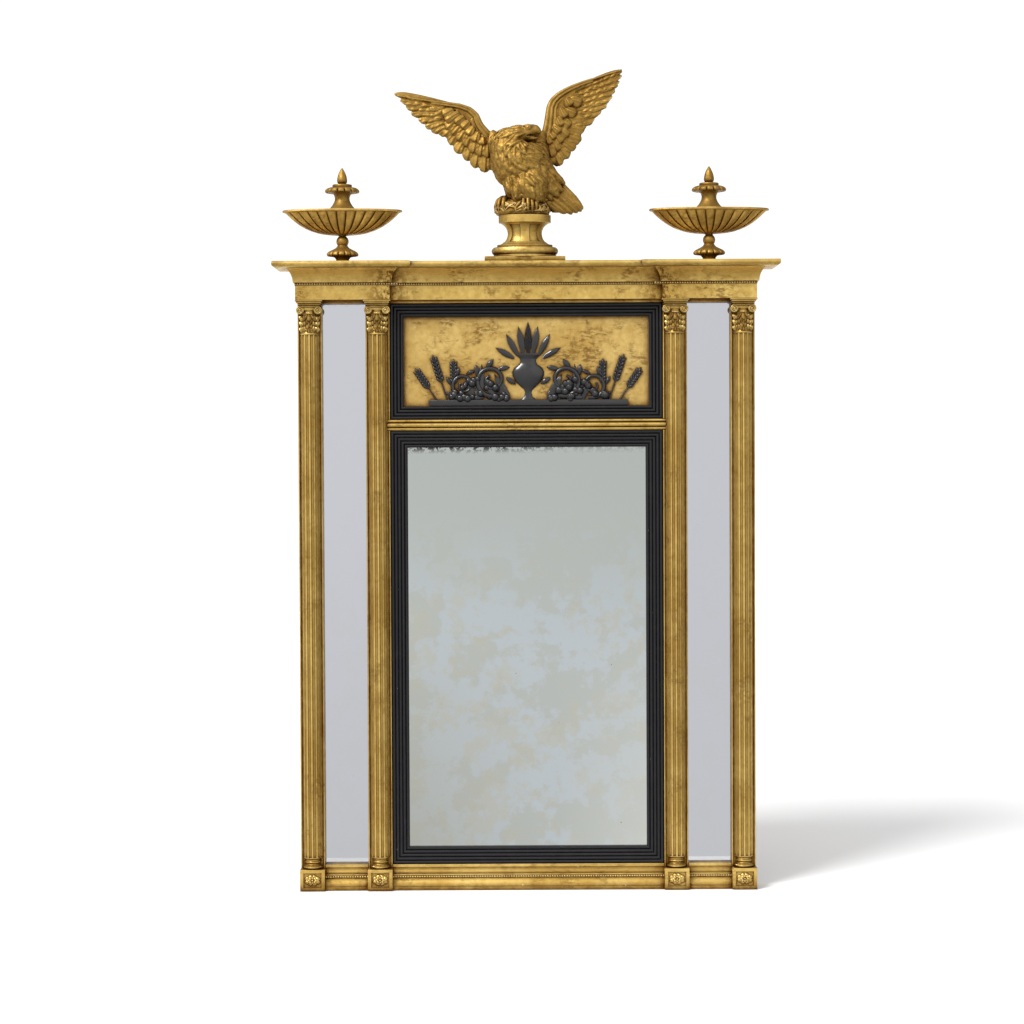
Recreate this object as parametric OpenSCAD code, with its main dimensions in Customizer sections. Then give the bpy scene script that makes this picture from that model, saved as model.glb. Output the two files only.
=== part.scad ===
// Gilt pier mirror: three mirror plates between four fluted half columns,
// a relief tablet over the main plate, a breakfront cornice, two tazza
// finials and a carved eagle. Lengths are millimetres.
// X runs across the mirror, Z is up and the wall is the plane y = 0, so the
// front faces -Y. The origin is at the foot of the back, on the centre line.
// "Depth" is always the distance from the wall.

/* [Overall] */
// Width over the outer pilasters
body_w = 944; // [900:2:1000]
// Width of each pilaster strip
strip_w = 50; // [46:1:56]
// Clear width of each side plate
side_sight_w = 90; // [70:1:110]
// Clear height of the main plate
main_sight_h = 829.5; // [700:0.5:950]
// Clear height of the relief tablet
tablet_sight_h = 185; // [165:0.5:200]

/* [Carcase] */
// Thickness of the pine carcase
carcase_t = 30; // [26:1:36]
// How far a moulding or strip laps over a plate
plate_lap = 6; // [4:0.5:8]
// Thickness of the backboards
backboard_t = 8; // [5:1:12]
// How far a backboard laps over its opening
backboard_lap = 7; // [5:1:10]
// Length of the tenons
tenon_l = 20; // [12:1:26]
// Thickness of the tenons
tenon_t = 10; // [6:1:12]
// Gap left round a tenon, a plate and a backboard
fit = 0.3; // [0.1:0.1:0.6]

/* [Plates and tablet] */
// Thickness of the mirror plates
glass_t = 3; // [2:0.5:5]
// Thickness of the tablet's board
tablet_t = 8; // [5:1:12]
// Thickness of the relief figures
relief_t = 6; // [4:0.5:8]
// Side of the glue blocks behind the plates
glue_block = 10; // [8:1:12]
// Length of the glue blocks
glue_block_l = 50; // [30:5:80]

/* [Mouldings] */
// Width of the ebonised moulding round the main plate
main_moulding_w = 35; // [28:0.5:42]
// Width of the ebonised moulding round the tablet
tablet_moulding_w = 27.5; // [22:0.5:32]
// Height of the mouldings at their outer edge
moulding_t = 16; // [13:0.5:19]
// How far the reeds step down towards the plate
moulding_fall = 8; // [4:0.5:10]
// Height of the gilt divider
divider_h = 23; // [20:0.5:28]
// Depth of the divider beyond the carcase
divider_t = 20; // [18:0.5:23]
// How far the divider is let into the pilasters
divider_lap = 6; // [3:0.5:9]

/* [Columns] */
// Thickness of the pilaster strips
strip_t = 16; // [12:1:20]
// Radius of the edge beads
edge_bead_r = 2; // [1:0.25:3]
// Radius of the half column shafts
shaft_r = 18.8; // [15:0.2:20]
// Flutes on each half column
flutes = 6; // [4:2:8]
// Radius of the flute cutter
flute_r = 3.5; // [2:0.1:3.8]
// Height of the capitals
capital_h = 65; // [55:1:75]
// Height of the column bases
base_h = 24; // [20:1:28]
// Radius of the scrolls
volute_r = 8.3; // [6.5:0.1:9]
// Width of the abacus over each capital
abacus_w = 56; // [52:0.5:60]

/* [Base] */
// Height of the base moulding
base_rail_h = 51.5; // [48:0.5:60]
// Depth of the plinth blocks from the wall
block_depth = 70; // [66:1:76]
// Height of the plinth blocks
block_h = 44; // [40:0.5:46]
// Border round the sunk panel of a block
block_border = 6; // [4:0.5:9]
// Depth of the sunk panel
block_sink = 2.5; // [1:0.25:4]

/* [Entablature] */
// Height of the architrave fillet
arch_h = 6.4; // [4:0.2:9]
// Height of the plain frieze
frieze_h = 28.6; // [22:0.2:36]
// Height of the bead course
bead_h = 6.3; // [5:0.1:8]
// Height of the cove
cove_h = 28.7; // [24:0.1:33]
// Thickness of the cornice board
slab_t = 12.5; // [10:0.5:16]
// Depth of the architrave from the wall
arch_depth = 52; // [50:0.5:56]
// Depth of the frieze over the side bays
bay_depth = 79; // [74:1:84]
// How far the side bays break forward
bay_break = 16; // [10:1:20]
// How far the cornice board overhangs the frieze
overhang = 45; // [36:1:50]

/* [Finials] */
// Half width of the tazza bowls
bowl_r = 123.5; // [100:0.5:140]
// Half depth of the tazza bowls
bowl_half_d = 40; // [32:1:50]
// Height of each finial
finial_h = 195; // [185:1:205]
// Lobes round each bowl
bowl_lobes = 30; // [20:2:36]

/* [Eagle] */
// Sideways place of the eagle and its plinth
eagle_x = -2; // [-10:1:10]
// Radius of the plinth's torus
plinth_r = 68.5; // [60:0.5:75]
// Height of the turned plinth
plinth_h = 95.5; // [85:0.5:105]
// Front to back share of the plinth's width
plinth_flat = 0.66; // [0.5:0.01:0.7]

/* [Hanging] */
// Radius of the hole in a hanging plate
hang_r = 5; // [3:0.5:6]
// Thickness of the hanging plates
hang_t = 3; // [2:0.5:4]
// Drop of the hanging holes below the cornice board
hang_drop = 140; // [125:5:300]

/* [Hidden] */
half_w = body_w / 2;
outer_x0 = half_w - strip_w;
inner_x1 = outer_x0 - side_sight_w;
inner_x0 = inner_x1 - strip_w;
COLUMNS = ["left_outer", "left_inner", "right_inner", "right_outer"];
column_x = [-half_w + strip_w / 2, -inner_x0 - strip_w / 2,
            inner_x0 + strip_w / 2, half_w - strip_w / 2];

// Heights, from the foot up
main_z0 = base_rail_h;
main_sight_z0 = main_z0 + main_moulding_w;
main_sight_z1 = main_sight_z0 + main_sight_h;
main_z1 = main_sight_z1 + main_moulding_w;
tablet_z0 = main_z1 + divider_h;
tablet_sight_z0 = tablet_z0 + tablet_moulding_w;
tablet_sight_z1 = tablet_sight_z0 + tablet_sight_h;
arch_z0 = tablet_sight_z1 + tablet_moulding_w;
frieze_z0 = arch_z0 + arch_h;
bead_z0 = frieze_z0 + frieze_h;
cove_z0 = bead_z0 + bead_h;
slab_z0 = cove_z0 + cove_h;
slab_z1 = slab_z0 + slab_t;

// Openings in the carcase, each one a fit larger than its plate
main_open_x = inner_x0 - main_moulding_w + plate_lap + fit;
side_open_x0 = inner_x1 - plate_lap - fit;
side_open_x1 = outer_x0 + plate_lap + fit;
main_open_z0 = main_sight_z0 - plate_lap - fit;
main_open_z1 = main_sight_z1 + plate_lap + fit;
side_open_z0 = base_rail_h - plate_lap - fit;
side_open_z1 = arch_z0 + plate_lap + fit;
tablet_open_z0 = tablet_sight_z0 - plate_lap - fit;
tablet_open_z1 = tablet_sight_z1 + plate_lap + fit;

// Depths from the wall
field_depth = carcase_t + strip_t;
centre_depth = bay_depth - bay_break;
rail_end = half_w - 12;
frieze_proud = 2;
frieze_x1 = half_w + frieze_proud;
frieze_x0 = inner_x0 - frieze_proud;
cove_foot = 4.3;
cove_top = 16.6;
bead_r = bead_h * 0.38;

// Hanging plates, let into the back of the outer stiles
hang_w = 26;
hang_l = 110;
hang_x = half_w - 22;
hang_z = slab_z0 - hang_drop;
hang_screw_r = 2;
hang_screw_l = 18;
hang_screw_z = [-34, -20, 26];

// Finials
finial_x = (frieze_x0 + frieze_x1) / 2;
finial_y = -(bay_depth + overhang) / 2;
peg_r = 5;
peg_l = 40;
foot_h = 56;
bowl_z0 = slab_z1 + foot_h;
bowl_h = 47.5;
rim_h = 4.5;
bowl_z1 = bowl_z0 + bowl_h + rim_h;

// Eagle
eagle_y = -(centre_depth + overhang) / 2 - 4;
perch_z0 = slab_z1 + plinth_h;
perch_h = 39;
bird_z0 = perch_z0 + perch_h;

GILT = "#c9a254";
DARK_GILT = "#a67e35";
EBONY = "#26252a";
PINE = "#b08a5c";
GLASS = "#b9bdbb";
IRON = "#4b4a48";

// A box between two corners, with its depths measured from the wall
module box(x0, x1, d0, d1, z0, z1) {
    translate([x0, -d1, z0]) cube([x1 - x0, d1 - d0, z1 - z0]);
}

// A (depth, z) outline run along X
module run_x(x0, x1) {
    translate([x1, 0, 0]) rotate([90, 0, -90]) linear_extrude(x1 - x0) children();
}

// An (x, z) outline run away from the wall
module run_out(d0, d1) {
    translate([0, -d0, 0]) rotate([90, 0, 0]) linear_extrude(d1 - d0) children();
}

// An (x, depth) outline run upwards
module run_up(z0, z1) {
    translate([0, 0, z0]) linear_extrude(z1 - z0) mirror([0, 1]) children();
}

// Points along an arc
function arc(cx, cy, r, a0, a1, n = 8) =
    [for (i = [0:n]) let(a = a0 + (a1 - a0) * i / n) [cx + r * cos(a), cy + r * sin(a)]];

// A closed skin over rings of equally many points
module skin(rings) {
    n = len(rings[0]);
    k = len(rings);
    polyhedron(
        points = [for (r = rings) for (p = r) p],
        faces = concat(
            [[for (i = [0:n - 1]) i]],
            [for (j = [0:k - 2]) for (i = [0:n - 1])
                [j * n + i, (j + 1) * n + (i + 1) % n, j * n + (i + 1) % n]],
            [for (j = [0:k - 2]) for (i = [0:n - 1])
                [j * n + i, (j + 1) * n + i, (j + 1) * n + (i + 1) % n]],
            [[for (i = [n - 1:-1:0]) (k - 1) * n + i]]));
}

// An oval ring in the plane square to the (x, z) direction "dir"
function oval(x, d, z, dir, across, deep, n) =
    [for (i = [0:n - 1]) let(a = 360 * i / n, s = across * cos(a))
        [x + s * cos(dir + 90), -d - deep * sin(a), z + s * sin(dir + 90)]];

// Carcase

// The recess that a backboard lies in
module back_recess(x0, x1, z0, z1, gap = 0) {
    lap = backboard_lap - gap;
    box(x0 - lap, x1 + lap, -1, backboard_t, z0 - lap, z1 + lap);
}

module back_recesses() {
    for (s = [-1, 1])
        scale([s, 1, 1]) back_recess(side_open_x0, side_open_x1, side_open_z0, side_open_z1);
    back_recess(-main_open_x, main_open_x, main_open_z0, tablet_open_z1);
}

tenon_d0 = (carcase_t - tenon_t) / 2 + 1;
tenon_w = 24;
cross_tenon_h = 40;
cross_z = (main_open_z1 + tablet_open_z0) / 2;

// The tenon on each end of a stile, or the mortise for it when gap > 0
module stile_tenons(x, gap = 0) {
    for (z = [side_open_z0 - tenon_l, side_open_z1])
        box(x - tenon_w / 2 - gap, x + tenon_w / 2 + gap, tenon_d0 - gap, tenon_d0 + tenon_t + gap,
            z - gap, z + tenon_l + gap);
}

// The two tenons of the cross rail
module cross_tenons(gap = 0) {
    for (s = [-1, 1])
        translate([s * (main_open_x + tenon_l / 2), 0, 0])
            box(-tenon_l / 2 - gap, tenon_l / 2 + gap, tenon_d0 - gap, tenon_d0 + tenon_t + gap,
                cross_z - cross_tenon_h / 2 - gap, cross_z + cross_tenon_h / 2 + gap);
}

stile_edges = [[-half_w, -side_open_x1], [-side_open_x0, -main_open_x - fit],
               [main_open_x + fit, side_open_x0], [side_open_x1, half_w]];

module stile(i) {
    edges = stile_edges[i];
    x = (edges[0] + edges[1]) / 2;
    color(PINE) difference() {
        union() {
            box(edges[0], edges[1], 0, carcase_t, side_open_z0, side_open_z1);
            stile_tenons(x);
        }
        back_recesses();
        cross_tenons(fit);
        if (i == 0 || i == 3) hanging_recess(sign(x));
    }
}

module top_rail() {
    color(PINE) difference() {
        union() {
            box(-rail_end, rail_end, 0, carcase_t, side_open_z1 + fit, slab_z0);
            box(-main_open_x, main_open_x, 0, carcase_t, tablet_open_z1, slab_z0);
        }
        back_recesses();
        for (e = stile_edges) stile_tenons((e[0] + e[1]) / 2, fit);
        for (s = [-1, 1]) hanging_recess(s);
    }
}

module cross_rail() {
    color(PINE) difference() {
        union() {
            box(-main_open_x, main_open_x, 0, carcase_t, main_open_z1, tablet_open_z0);
            cross_tenons();
        }
        back_recesses();
    }
}

module bottom_rail() {
    color(PINE) difference() {
        union() {
            box(-half_w, half_w, 0, carcase_t, 0, side_open_z0 - fit);
            box(-main_open_x, main_open_x, 0, carcase_t, 0, main_open_z0);
        }
        back_recesses();
        for (e = stile_edges) stile_tenons((e[0] + e[1]) / 2, fit);
    }
}

module side_backboard(side) {
    color(PINE) intersection() {
        scale([side, 1, 1]) back_recess(side_open_x0, side_open_x1, side_open_z0, side_open_z1, fit);
        box(-half_w, half_w, 0, backboard_t, 0, slab_z1);
    }
}

module main_backboard() {
    color(PINE) intersection() {
        back_recess(-main_open_x, main_open_x, main_open_z0, tablet_open_z1, fit);
        box(-half_w, half_w, 0, backboard_t, 0, slab_z1);
    }
}

// Plates, tablet and the glue blocks that hold them

module plate(x0, x1, z0, z1) {
    color(GLASS) box(x0 + fit, x1 - fit, carcase_t - glass_t, carcase_t, z0 + fit, z1 - fit);
}

module main_plate() {
    plate(-main_open_x, main_open_x, main_open_z0, main_open_z1);
}

module side_plate(side) {
    x0 = side < 0 ? -side_open_x1 : side_open_x0;
    x1 = side < 0 ? -side_open_x0 : side_open_x1;
    plate(x0, x1, side_open_z0, side_open_z1);
}

module tablet_panel() {
    color(GILT) box(-main_open_x + fit, main_open_x - fit, carcase_t - tablet_t, carcase_t,
                    tablet_open_z0 + fit, tablet_open_z1 - fit);
}

// Triangular blocks along one upright edge of an opening, behind a board
module edge_blocks(x, inward, depth, z0, z1, count) {
    for (k = [1:count])
        translate([x, -depth, z0 + (z1 - z0) * k / (count + 1) - glue_block_l / 2])
            linear_extrude(glue_block_l)
                polygon([[0, 0], [inward * glue_block, 0], [0, glue_block]]);
}

module glue_blocks() {
    behind_glass = carcase_t - glass_t;
    behind_tablet = carcase_t - tablet_t;
    color(PINE) {
        for (s = [-1, 1]) {
            edge_blocks(s * (main_open_x + fit), -s, behind_glass, main_open_z0, main_open_z1, 4);
            edge_blocks(s * (main_open_x + fit), -s, behind_tablet, tablet_open_z0, tablet_open_z1, 1);
            edge_blocks(s * side_open_x0, s, behind_glass, side_open_z0, side_open_z1, 5);
            edge_blocks(s * side_open_x1, -s, behind_glass, side_open_z0, side_open_z1, 5);
        }
    }
}

// Reeded mouldings

// A (width, height) outline of reeds that step down from t to t - fall
module reeds(w, t, fall, count) {
    pitch = w / count;
    for (i = [0:count - 1]) {
        top = t - fall * i / (count - 1);
        translate([pitch * i, 0]) square([pitch, top - pitch / 2]);
        translate([pitch * (i + 0.5), top - pitch / 2]) circle(r = pitch / 2, $fn = 32);
    }
}

// The mitred outline of one rail of a frame, in (x, z), its outer edge at z = 0
module mitre_x(half, w) {
    polygon([[-half, 0], [half, 0], [half - w, w], [-half + w, w]]);
}

module moulding_rails(z0, z1, w, count) {
    half = inner_x0 - fit;
    for (e = [[z0, 1], [z1, -1]])
        translate([0, 0, e[0]]) scale([1, 1, e[1]]) intersection() {
            translate([0, -carcase_t, 0]) run_x(-half, half)
                mirror([1, -1]) reeds(w, moulding_t, moulding_fall, count);
            run_out(carcase_t, carcase_t + moulding_t + 1) mitre_x(half, w);
        }
}

module moulding_stiles(z0, z1, w, count) {
    half = inner_x0 - fit;
    for (s = [-1, 1])
        scale([s, 1, 1]) intersection() {
            translate([half, -carcase_t, 0]) run_up(z0, z1)
                mirror([1, 0]) reeds(w, moulding_t, moulding_fall, count);
            run_out(carcase_t, carcase_t + moulding_t + 1)
                polygon([[half, z0], [half, z1], [half - w, z1 - w], [half - w, z0 + w]]);
        }
}

main_reeds = 5;
tablet_reeds = 4;

module main_moulding_rails() {
    color(EBONY) moulding_rails(main_z0, main_z1, main_moulding_w, main_reeds);
}

module main_moulding_stiles() {
    color(EBONY) moulding_stiles(main_z0, main_z1, main_moulding_w, main_reeds);
}

module tablet_moulding_rails() {
    color(EBONY) moulding_rails(tablet_z0, arch_z0, tablet_moulding_w, tablet_reeds);
}

module tablet_moulding_stiles() {
    color(EBONY) moulding_stiles(tablet_z0, arch_z0, tablet_moulding_w, tablet_reeds);
}

divider_x = inner_x0 + min(divider_lap, strip_w / 2 - shaft_r - fit / 2);

// Three reeds, the middle one fuller
module divider_section() {
    small = divider_h * 0.14;
    large = divider_h * 0.21;
    square([divider_t - large, divider_h]);
    translate([divider_t - large, divider_h / 2]) circle(r = large, $fn = 32);
    for (z = [small, divider_h - small])
        translate([divider_t - large, z]) circle(r = small, $fn = 32);
}

module divider() {
    color(GILT) translate([0, -carcase_t, main_z1]) run_x(-divider_x, divider_x) divider_section();
}

// Pilasters and half columns

module pilaster(i) {
    x = column_x[i];
    inner = i == 1 || i == 2;
    color(GILT) difference() {
        translate([x, -carcase_t, 0]) run_up(block_h, arch_z0) {
            translate([-strip_w / 2, 0]) square([strip_w, strip_t]);
            for (s = [-1, 1])
                translate([s * (strip_w / 2 - edge_bead_r), strip_t]) circle(r = edge_bead_r, $fn = 24);
        }
        if (inner)
            box(-divider_x - fit, divider_x + fit, carcase_t - 1, bay_depth, main_z1 - fit, tablet_z0 + fit);
    }
}

module half_round(r) {
    intersection() {
        circle(r = r, $fn = 96);
        translate([-r, 0]) square([2 * r, r]);
    }
}

shaft_z0 = block_h + base_h;
shaft_z1 = arch_z0 - capital_h;

module shaft(i) {
    step = 180 / flutes;
    color(GILT) translate([column_x[i], -field_depth, 0]) run_up(shaft_z0, shaft_z1) difference() {
        half_round(shaft_r);
        for (k = [0:flutes - 1])
            rotate(step * (k + 0.5)) translate([shaft_r + 0.9, 0]) circle(r = flute_r, $fn = 24);
    }
}

// Attic base, as an outline of (radius, height)
base_profile = concat(
    [[0, 0]],
    arc(shaft_r - 1.5, 3.2, 3.2, -90, 90, 6),
    [[shaft_r - 1.2, 6.4], [shaft_r - 1.2, 8]],
    arc(shaft_r - 1.2, 11, 3, -90, -180, 4),
    arc(shaft_r - 4.2, 14.5, 2.4, -60, 70, 5),
    [[shaft_r - 3.2, 17.6], [shaft_r - 3.6, 20], [shaft_r - 0.6, 22]],
    [[shaft_r + 0.4, 22.8], [shaft_r + 0.4, base_h], [0, base_h]]);

module column_bases() {
    color(GILT) for (x = column_x)
        translate([x, -field_depth, block_h]) intersection() {
            rotate_extrude($fn = 64) polygon(base_profile);
            box(-strip_w, strip_w, 0, strip_w, 0, base_h);
        }
}

// Outline of a scroll: a band that winds in to the eye
scroll_turns = 2.1;
function scroll_r(t, r) = r * (1 - 0.78 * t / scroll_turns);
function scroll_band(r, w, turns = scroll_turns, step = 30) = concat(
    [for (a = [0:step:360 * turns]) let(q = scroll_r(a / 360, r)) [q * cos(a), q * sin(a)]],
    [for (a = [360 * turns:-step:0]) let(q = scroll_r(a / 360, r) - w) [q * cos(a), q * sin(a)]]);

volute_x = 18.2;
volute_dz = 14.5;
volute_d = 22;

// A scroll with its spiral standing on the front, clear of the strip's edge bead
bead_clear = edge_bead_r + fit;
module volute() {
    translate([0, -bead_clear, 0]) rotate([90, 0, 0]) {
        cylinder(r = volute_r, h = volute_d - bead_clear - 1.6, $fn = 48);
        cylinder(r = 2, h = volute_d - bead_clear, $fn = 24);
        linear_extrude(volute_d - bead_clear) rotate(90) polygon(scroll_band(volute_r, 1.5));
    }
}

leaf_n = 5;

module capital(i) {
    neck_r = shaft_r - 1;
    astragal = 2.2;
    neck_h = capital_h - volute_dz - 4;
    color(GILT) translate([column_x[i], -field_depth, shaft_z1]) {
        intersection() {
            union() {
                cylinder(r = neck_r, h = neck_h, $fn = 64);
                rotate_extrude($fn = 64) {
                    translate([neck_r, astragal]) circle(r = astragal, $fn = 24);
                    translate([neck_r - 0.5, neck_h - 3]) square([1.8, 3]);
                }
                for (k = [0:leaf_n - 1])
                    rotate(-180 * (k + 0.5) / leaf_n) translate([neck_r - 1.2, 0, 0]) neck_leaf();
            }
            box(-strip_w, strip_w, 0, strip_w, 0, capital_h);
        }
        for (s = [-1, 1]) scale([s, 1, 1]) translate([volute_x, 0, capital_h - volute_dz]) volute();
        box(-volute_x, volute_x, 0, volute_d - 2, capital_h - volute_dz, capital_h - 4);
        box(-volute_x - 4, volute_x + 4, bead_clear, volute_d - 1,
            capital_h - volute_dz + volute_r - 2, capital_h);
        abacus_depth = bay_depth - 1 - field_depth;
        arch_gap = arch_depth - field_depth + fit;
        box(-abacus_w / 2 + 2.5, abacus_w / 2 - 2.5, arch_gap, abacus_depth - 2,
            capital_h - 1, capital_h + arch_h - 2.4);
        box(-abacus_w / 2, abacus_w / 2, arch_gap, abacus_depth,
            capital_h + arch_h - 2.4, capital_h + arch_h);
    }
}

// One upright leaf on the neck of a capital, standing out along +X
module neck_leaf() {
    h = 34;
    rotate([90, 0, 90]) linear_extrude(3) translate([0, 5])
        polygon([[-1.6, 0], [1.6, 0], [3.8, h * 0.3], [3.4, h * 0.6], [1.8, h * 0.85], [0, h],
                 [-1.8, h * 0.85], [-3.4, h * 0.6], [-3.8, h * 0.3]]);
}

// Plinth blocks, each with a sunk panel and an oval patera

block_proud = 0.5;
block_w = strip_w + 2 * block_proud;
patera_rx = 11;
patera_rz = 7.4;

module block(i) {
    x = column_x[i];
    floor_depth = block_depth - block_sink;
    color(GILT) difference() {
        box(x - block_w / 2, x + block_w / 2, carcase_t, block_depth, 0, block_h);
        box(x - block_w / 2 + block_border, x + block_w / 2 - block_border, floor_depth, block_depth + 1,
            block_border, block_h - block_border);
    }
    color(GILT) translate([x, -floor_depth, block_h / 2]) intersection() {
        union() {
            sphere(r = 2.8, $fn = 24);
            for (a = [0:45:315])
                translate([patera_rx * cos(a), 0.8, patera_rz * sin(a)]) sphere(r = 3.6, $fn = 24);
            rotate([90, 0, 0]) cylinder(r = 6.5, h = 1.4, $fn = 32);
        }
        box(-strip_w, strip_w, -0.5, 5, -block_h, block_h);
    }
}

// Base moulding between the blocks, from the foot: fillet, ovolo, bead seat,
// hollow and fillet

base_bead_z = 26.6;
base_bead_d = 51;
base_foot_h = 7;
base_foot_d = 62;

module base_section() {
    ovolo_h = base_bead_z - bead_h / 2 - base_foot_h;
    ovolo_out = base_foot_d - 2 - base_bead_d - 1;
    ovolo_r = (ovolo_h * ovolo_h + ovolo_out * ovolo_out) / (2 * ovolo_out);
    hollow_z0 = base_bead_z + bead_h / 2;
    hollow_z1 = base_rail_h - 5.5;
    square([base_foot_d, base_foot_h]);
    translate([0, base_foot_h]) intersection() {
        square([base_foot_d - 2, ovolo_h]);
        translate([base_foot_d - 2 - ovolo_r, 0]) circle(r = ovolo_r, $fn = 96);
    }
    translate([0, base_foot_h]) square([base_bead_d, hollow_z0 - base_foot_h]);
    difference() {
        translate([0, hollow_z0]) square([base_bead_d + 1.5, hollow_z1 - hollow_z0]);
        translate([field_depth + 10, hollow_z1 - 3]) circle(r = 11.5, $fn = 64);
    }
    translate([0, hollow_z1]) square([field_depth + 2, base_rail_h - hollow_z1]);
}

// Ends of the stretches between the blocks
base_ends = [[-outer_x0 + block_proud + fit, -inner_x1 - block_proud - fit],
             [-inner_x0 + block_proud + fit, inner_x0 - block_proud - fit],
             [inner_x1 + block_proud + fit, outer_x0 - block_proud - fit]];

module base_moulding(k) {
    color(GILT) difference() {
        run_x(base_ends[k][0], base_ends[k][1]) base_section();
        box(-half_w, half_w, -1, carcase_t, -1, base_rail_h + 1);
    }
}

// Entablature

// Outline from 0 out to a given reach: architrave, frieze, bead seat and cove
module cornice_section(arch, face) {
    cove_r = (cove_h * cove_h + pow(cove_top - cove_foot, 2)) / (2 * (cove_top - cove_foot));
    translate([0, arch_z0]) square([arch, arch_h]);
    translate([0, frieze_z0]) square([face, frieze_h]);
    translate([0, bead_z0]) square([face - 1, bead_h]);
    difference() {
        translate([0, cove_z0]) square([face + cove_top, cove_h]);
        translate([face + cove_foot + cove_r, cove_z0]) circle(r = cove_r, $fn = 96);
    }
}

bay_x = (frieze_x0 + frieze_x1) / 2;
bay_half = (frieze_x1 - frieze_x0) / 2;

// The solid of a side bay, larger all round by "gap" where it has to clear
module bay(gap = 0) {
    intersection() {
        run_x(frieze_x0 - overhang, frieze_x1 + overhang) cornice_section(arch_depth + gap, bay_depth + gap);
        translate([bay_x, 0, 0]) run_out(-1, bay_depth + overhang) for (s = [0, 1])
            mirror([s, 0]) cornice_section(bay_half - frieze_proud + gap, bay_half + gap);
    }
}

module carcase_space() {
    box(-half_w - fit, half_w + fit, -2, carcase_t, 0, side_open_z1 + fit);
    box(-rail_end - fit, rail_end + fit, -2, carcase_t, side_open_z1, slab_z1);
    box(-half_w - overhang, half_w + overhang, -2, 0, 0, slab_z1);
}

module peg_hole(x, y, z0, z1) {
    translate([x, y, z0]) cylinder(r = peg_r + fit / 2, h = z1 - z0, $fn = 32);
}

plinth_peg_x = 30;
peg_z0 = slab_z1 - peg_l + 14;

module entablature_side(side) {
    color(GILT) scale([side, 1, 1]) difference() {
        bay();
        carcase_space();
        peg_hole(finial_x, finial_y, peg_z0, slab_z1);
    }
}

module entablature_centre() {
    color(GILT) difference() {
        run_x(-frieze_x0 - cove_top, frieze_x0 + cove_top) cornice_section(arch_depth, centre_depth);
        carcase_space();
        for (s = [-1, 1]) {
            scale([s, 1, 1]) bay(0.1);
            scale([s, 1, 1]) box(inner_x0 - frieze_proud, half_w, 0, bay_depth, arch_z0 - 1, slab_z0 + 1);
            peg_hole(eagle_x + s * plinth_peg_x, eagle_y, peg_z0, slab_z1);
        }
    }
}

// The board's nosing: a small fillet over an ovolo
module slab_section(reach) {
    nose = slab_t * 0.62;
    square([reach - nose, slab_t]);
    translate([0, nose]) square([reach - 1.2, slab_t - nose]);
    translate([reach - nose - 0.6, nose]) intersection() {
        circle(r = nose, $fn = 48);
        translate([0, -nose]) square([nose, nose * 1.4]);
    }
}

module cornice_board() {
    color(GILT) difference() {
        union() {
            for (s = [-1, 1]) scale([s, 1, 1]) intersection() {
                translate([0, 0, slab_z0]) run_x(frieze_x0 - overhang, frieze_x1 + overhang)
                    slab_section(bay_depth + overhang);
                translate([bay_x, 0, slab_z0]) run_out(0, bay_depth + overhang) for (m = [0, 1])
                    mirror([m, 0]) slab_section(bay_half + overhang);
            }
            translate([0, 0, slab_z0]) run_x(-bay_x, bay_x) slab_section(centre_depth + overhang);
        }
        for (s = [-1, 1]) {
            peg_hole(s * finial_x, finial_y, slab_z0 - 1, slab_z1 + 1);
            peg_hole(eagle_x + s * plinth_peg_x, eagle_y, slab_z0 - 1, slab_z1 + 1);
        }
    }
}

// Half round rods that carry the carved beads

module bead_rod(x0, x1, depth, z) {
    translate([0, -depth, z]) run_x(x0, x1) intersection() {
        circle(r = bead_r, $fn = 24);
        translate([0, -bead_r]) square([bead_r, 2 * bead_r]);
    }
}

module bead_strings() {
    z = bead_z0 + bead_h / 2;
    color(DARK_GILT) {
        for (s = [-1, 1]) scale([s, 1, 1]) {
            bead_rod(frieze_x0 - 1, frieze_x1 + 1, bay_depth - 1, z);
            translate([frieze_x1 - 1, 0, z]) run_out(0, bay_depth - 1) intersection() {
                circle(r = bead_r, $fn = 24);
                translate([0, -bead_r]) square([bead_r, 2 * bead_r]);
            }
        }
        bead_rod(-frieze_x0 + bead_r, frieze_x0 - bead_r, centre_depth - 1, z);
        for (e = base_ends) bead_rod(e[0], e[1], base_bead_d, base_bead_z);
    }
}

// Tazza finials

// Turned foot: a neck, a collar of turned-down leaves and a ball
foot_profile = concat(
    [[0, 0], [13.4, 0], [13, 5]],
    arc(31, 3.4, 17, 165, 98, 6),
    [[32.5, 16], [33.3, 17.5]],
    arc(18.5, 17.5, 14.6, 8, 75, 5),
    [[12, 30.6], [8.6, 32]],
    arc(0, 44, 12, -44, 44, 8),
    [[8.2, 54], [8.2, 56], [0, 56]]);

// Turned cover: a flaring neck, a collar of leaves and a bud
cover_profile = concat(
    [[0, 0], [28, 0], [27.4, 1.5]],
    arc(37.5, 22.5, 22.4, 250, 158, 8),
    [[20, 34], [32, 33], [35.8, 36.8]],
    arc(23, 36, 13.4, 12, 82, 5),
    [[9, 51], [8, 52.5]],
    arc(-2, 60, 12.4, -30, 20, 5),
    [[7.6, 74], [4.2, 80.5], [1, 86], [0, 86.5]]);

// Notches between the leaves of a collar
module leaf_notches(r, z, count, size) {
    for (k = [0:count - 1])
        rotate(360 * (k + 0.5) / count) translate([r, 0, z - 6]) cylinder(r = size, h = 8, $fn = 16);
}

module urn_foot(side) {
    color(DARK_GILT) translate([side * finial_x, finial_y, slab_z1]) difference() {
        rotate_extrude($fn = 64) polygon(foot_profile);
        leaf_notches(35, 20, 8, 4.5);
        translate([0, 0, -1]) cylinder(r = peg_r + fit / 2, h = 15, $fn = 32);
    }
}

module urn_cover(side) {
    color(DARK_GILT) translate([side * finial_x, finial_y, bowl_z1]) difference() {
        rotate_extrude($fn = 64) polygon(cover_profile);
        leaf_notches(37.8, 40, 8, 5);
    }
}

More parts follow.
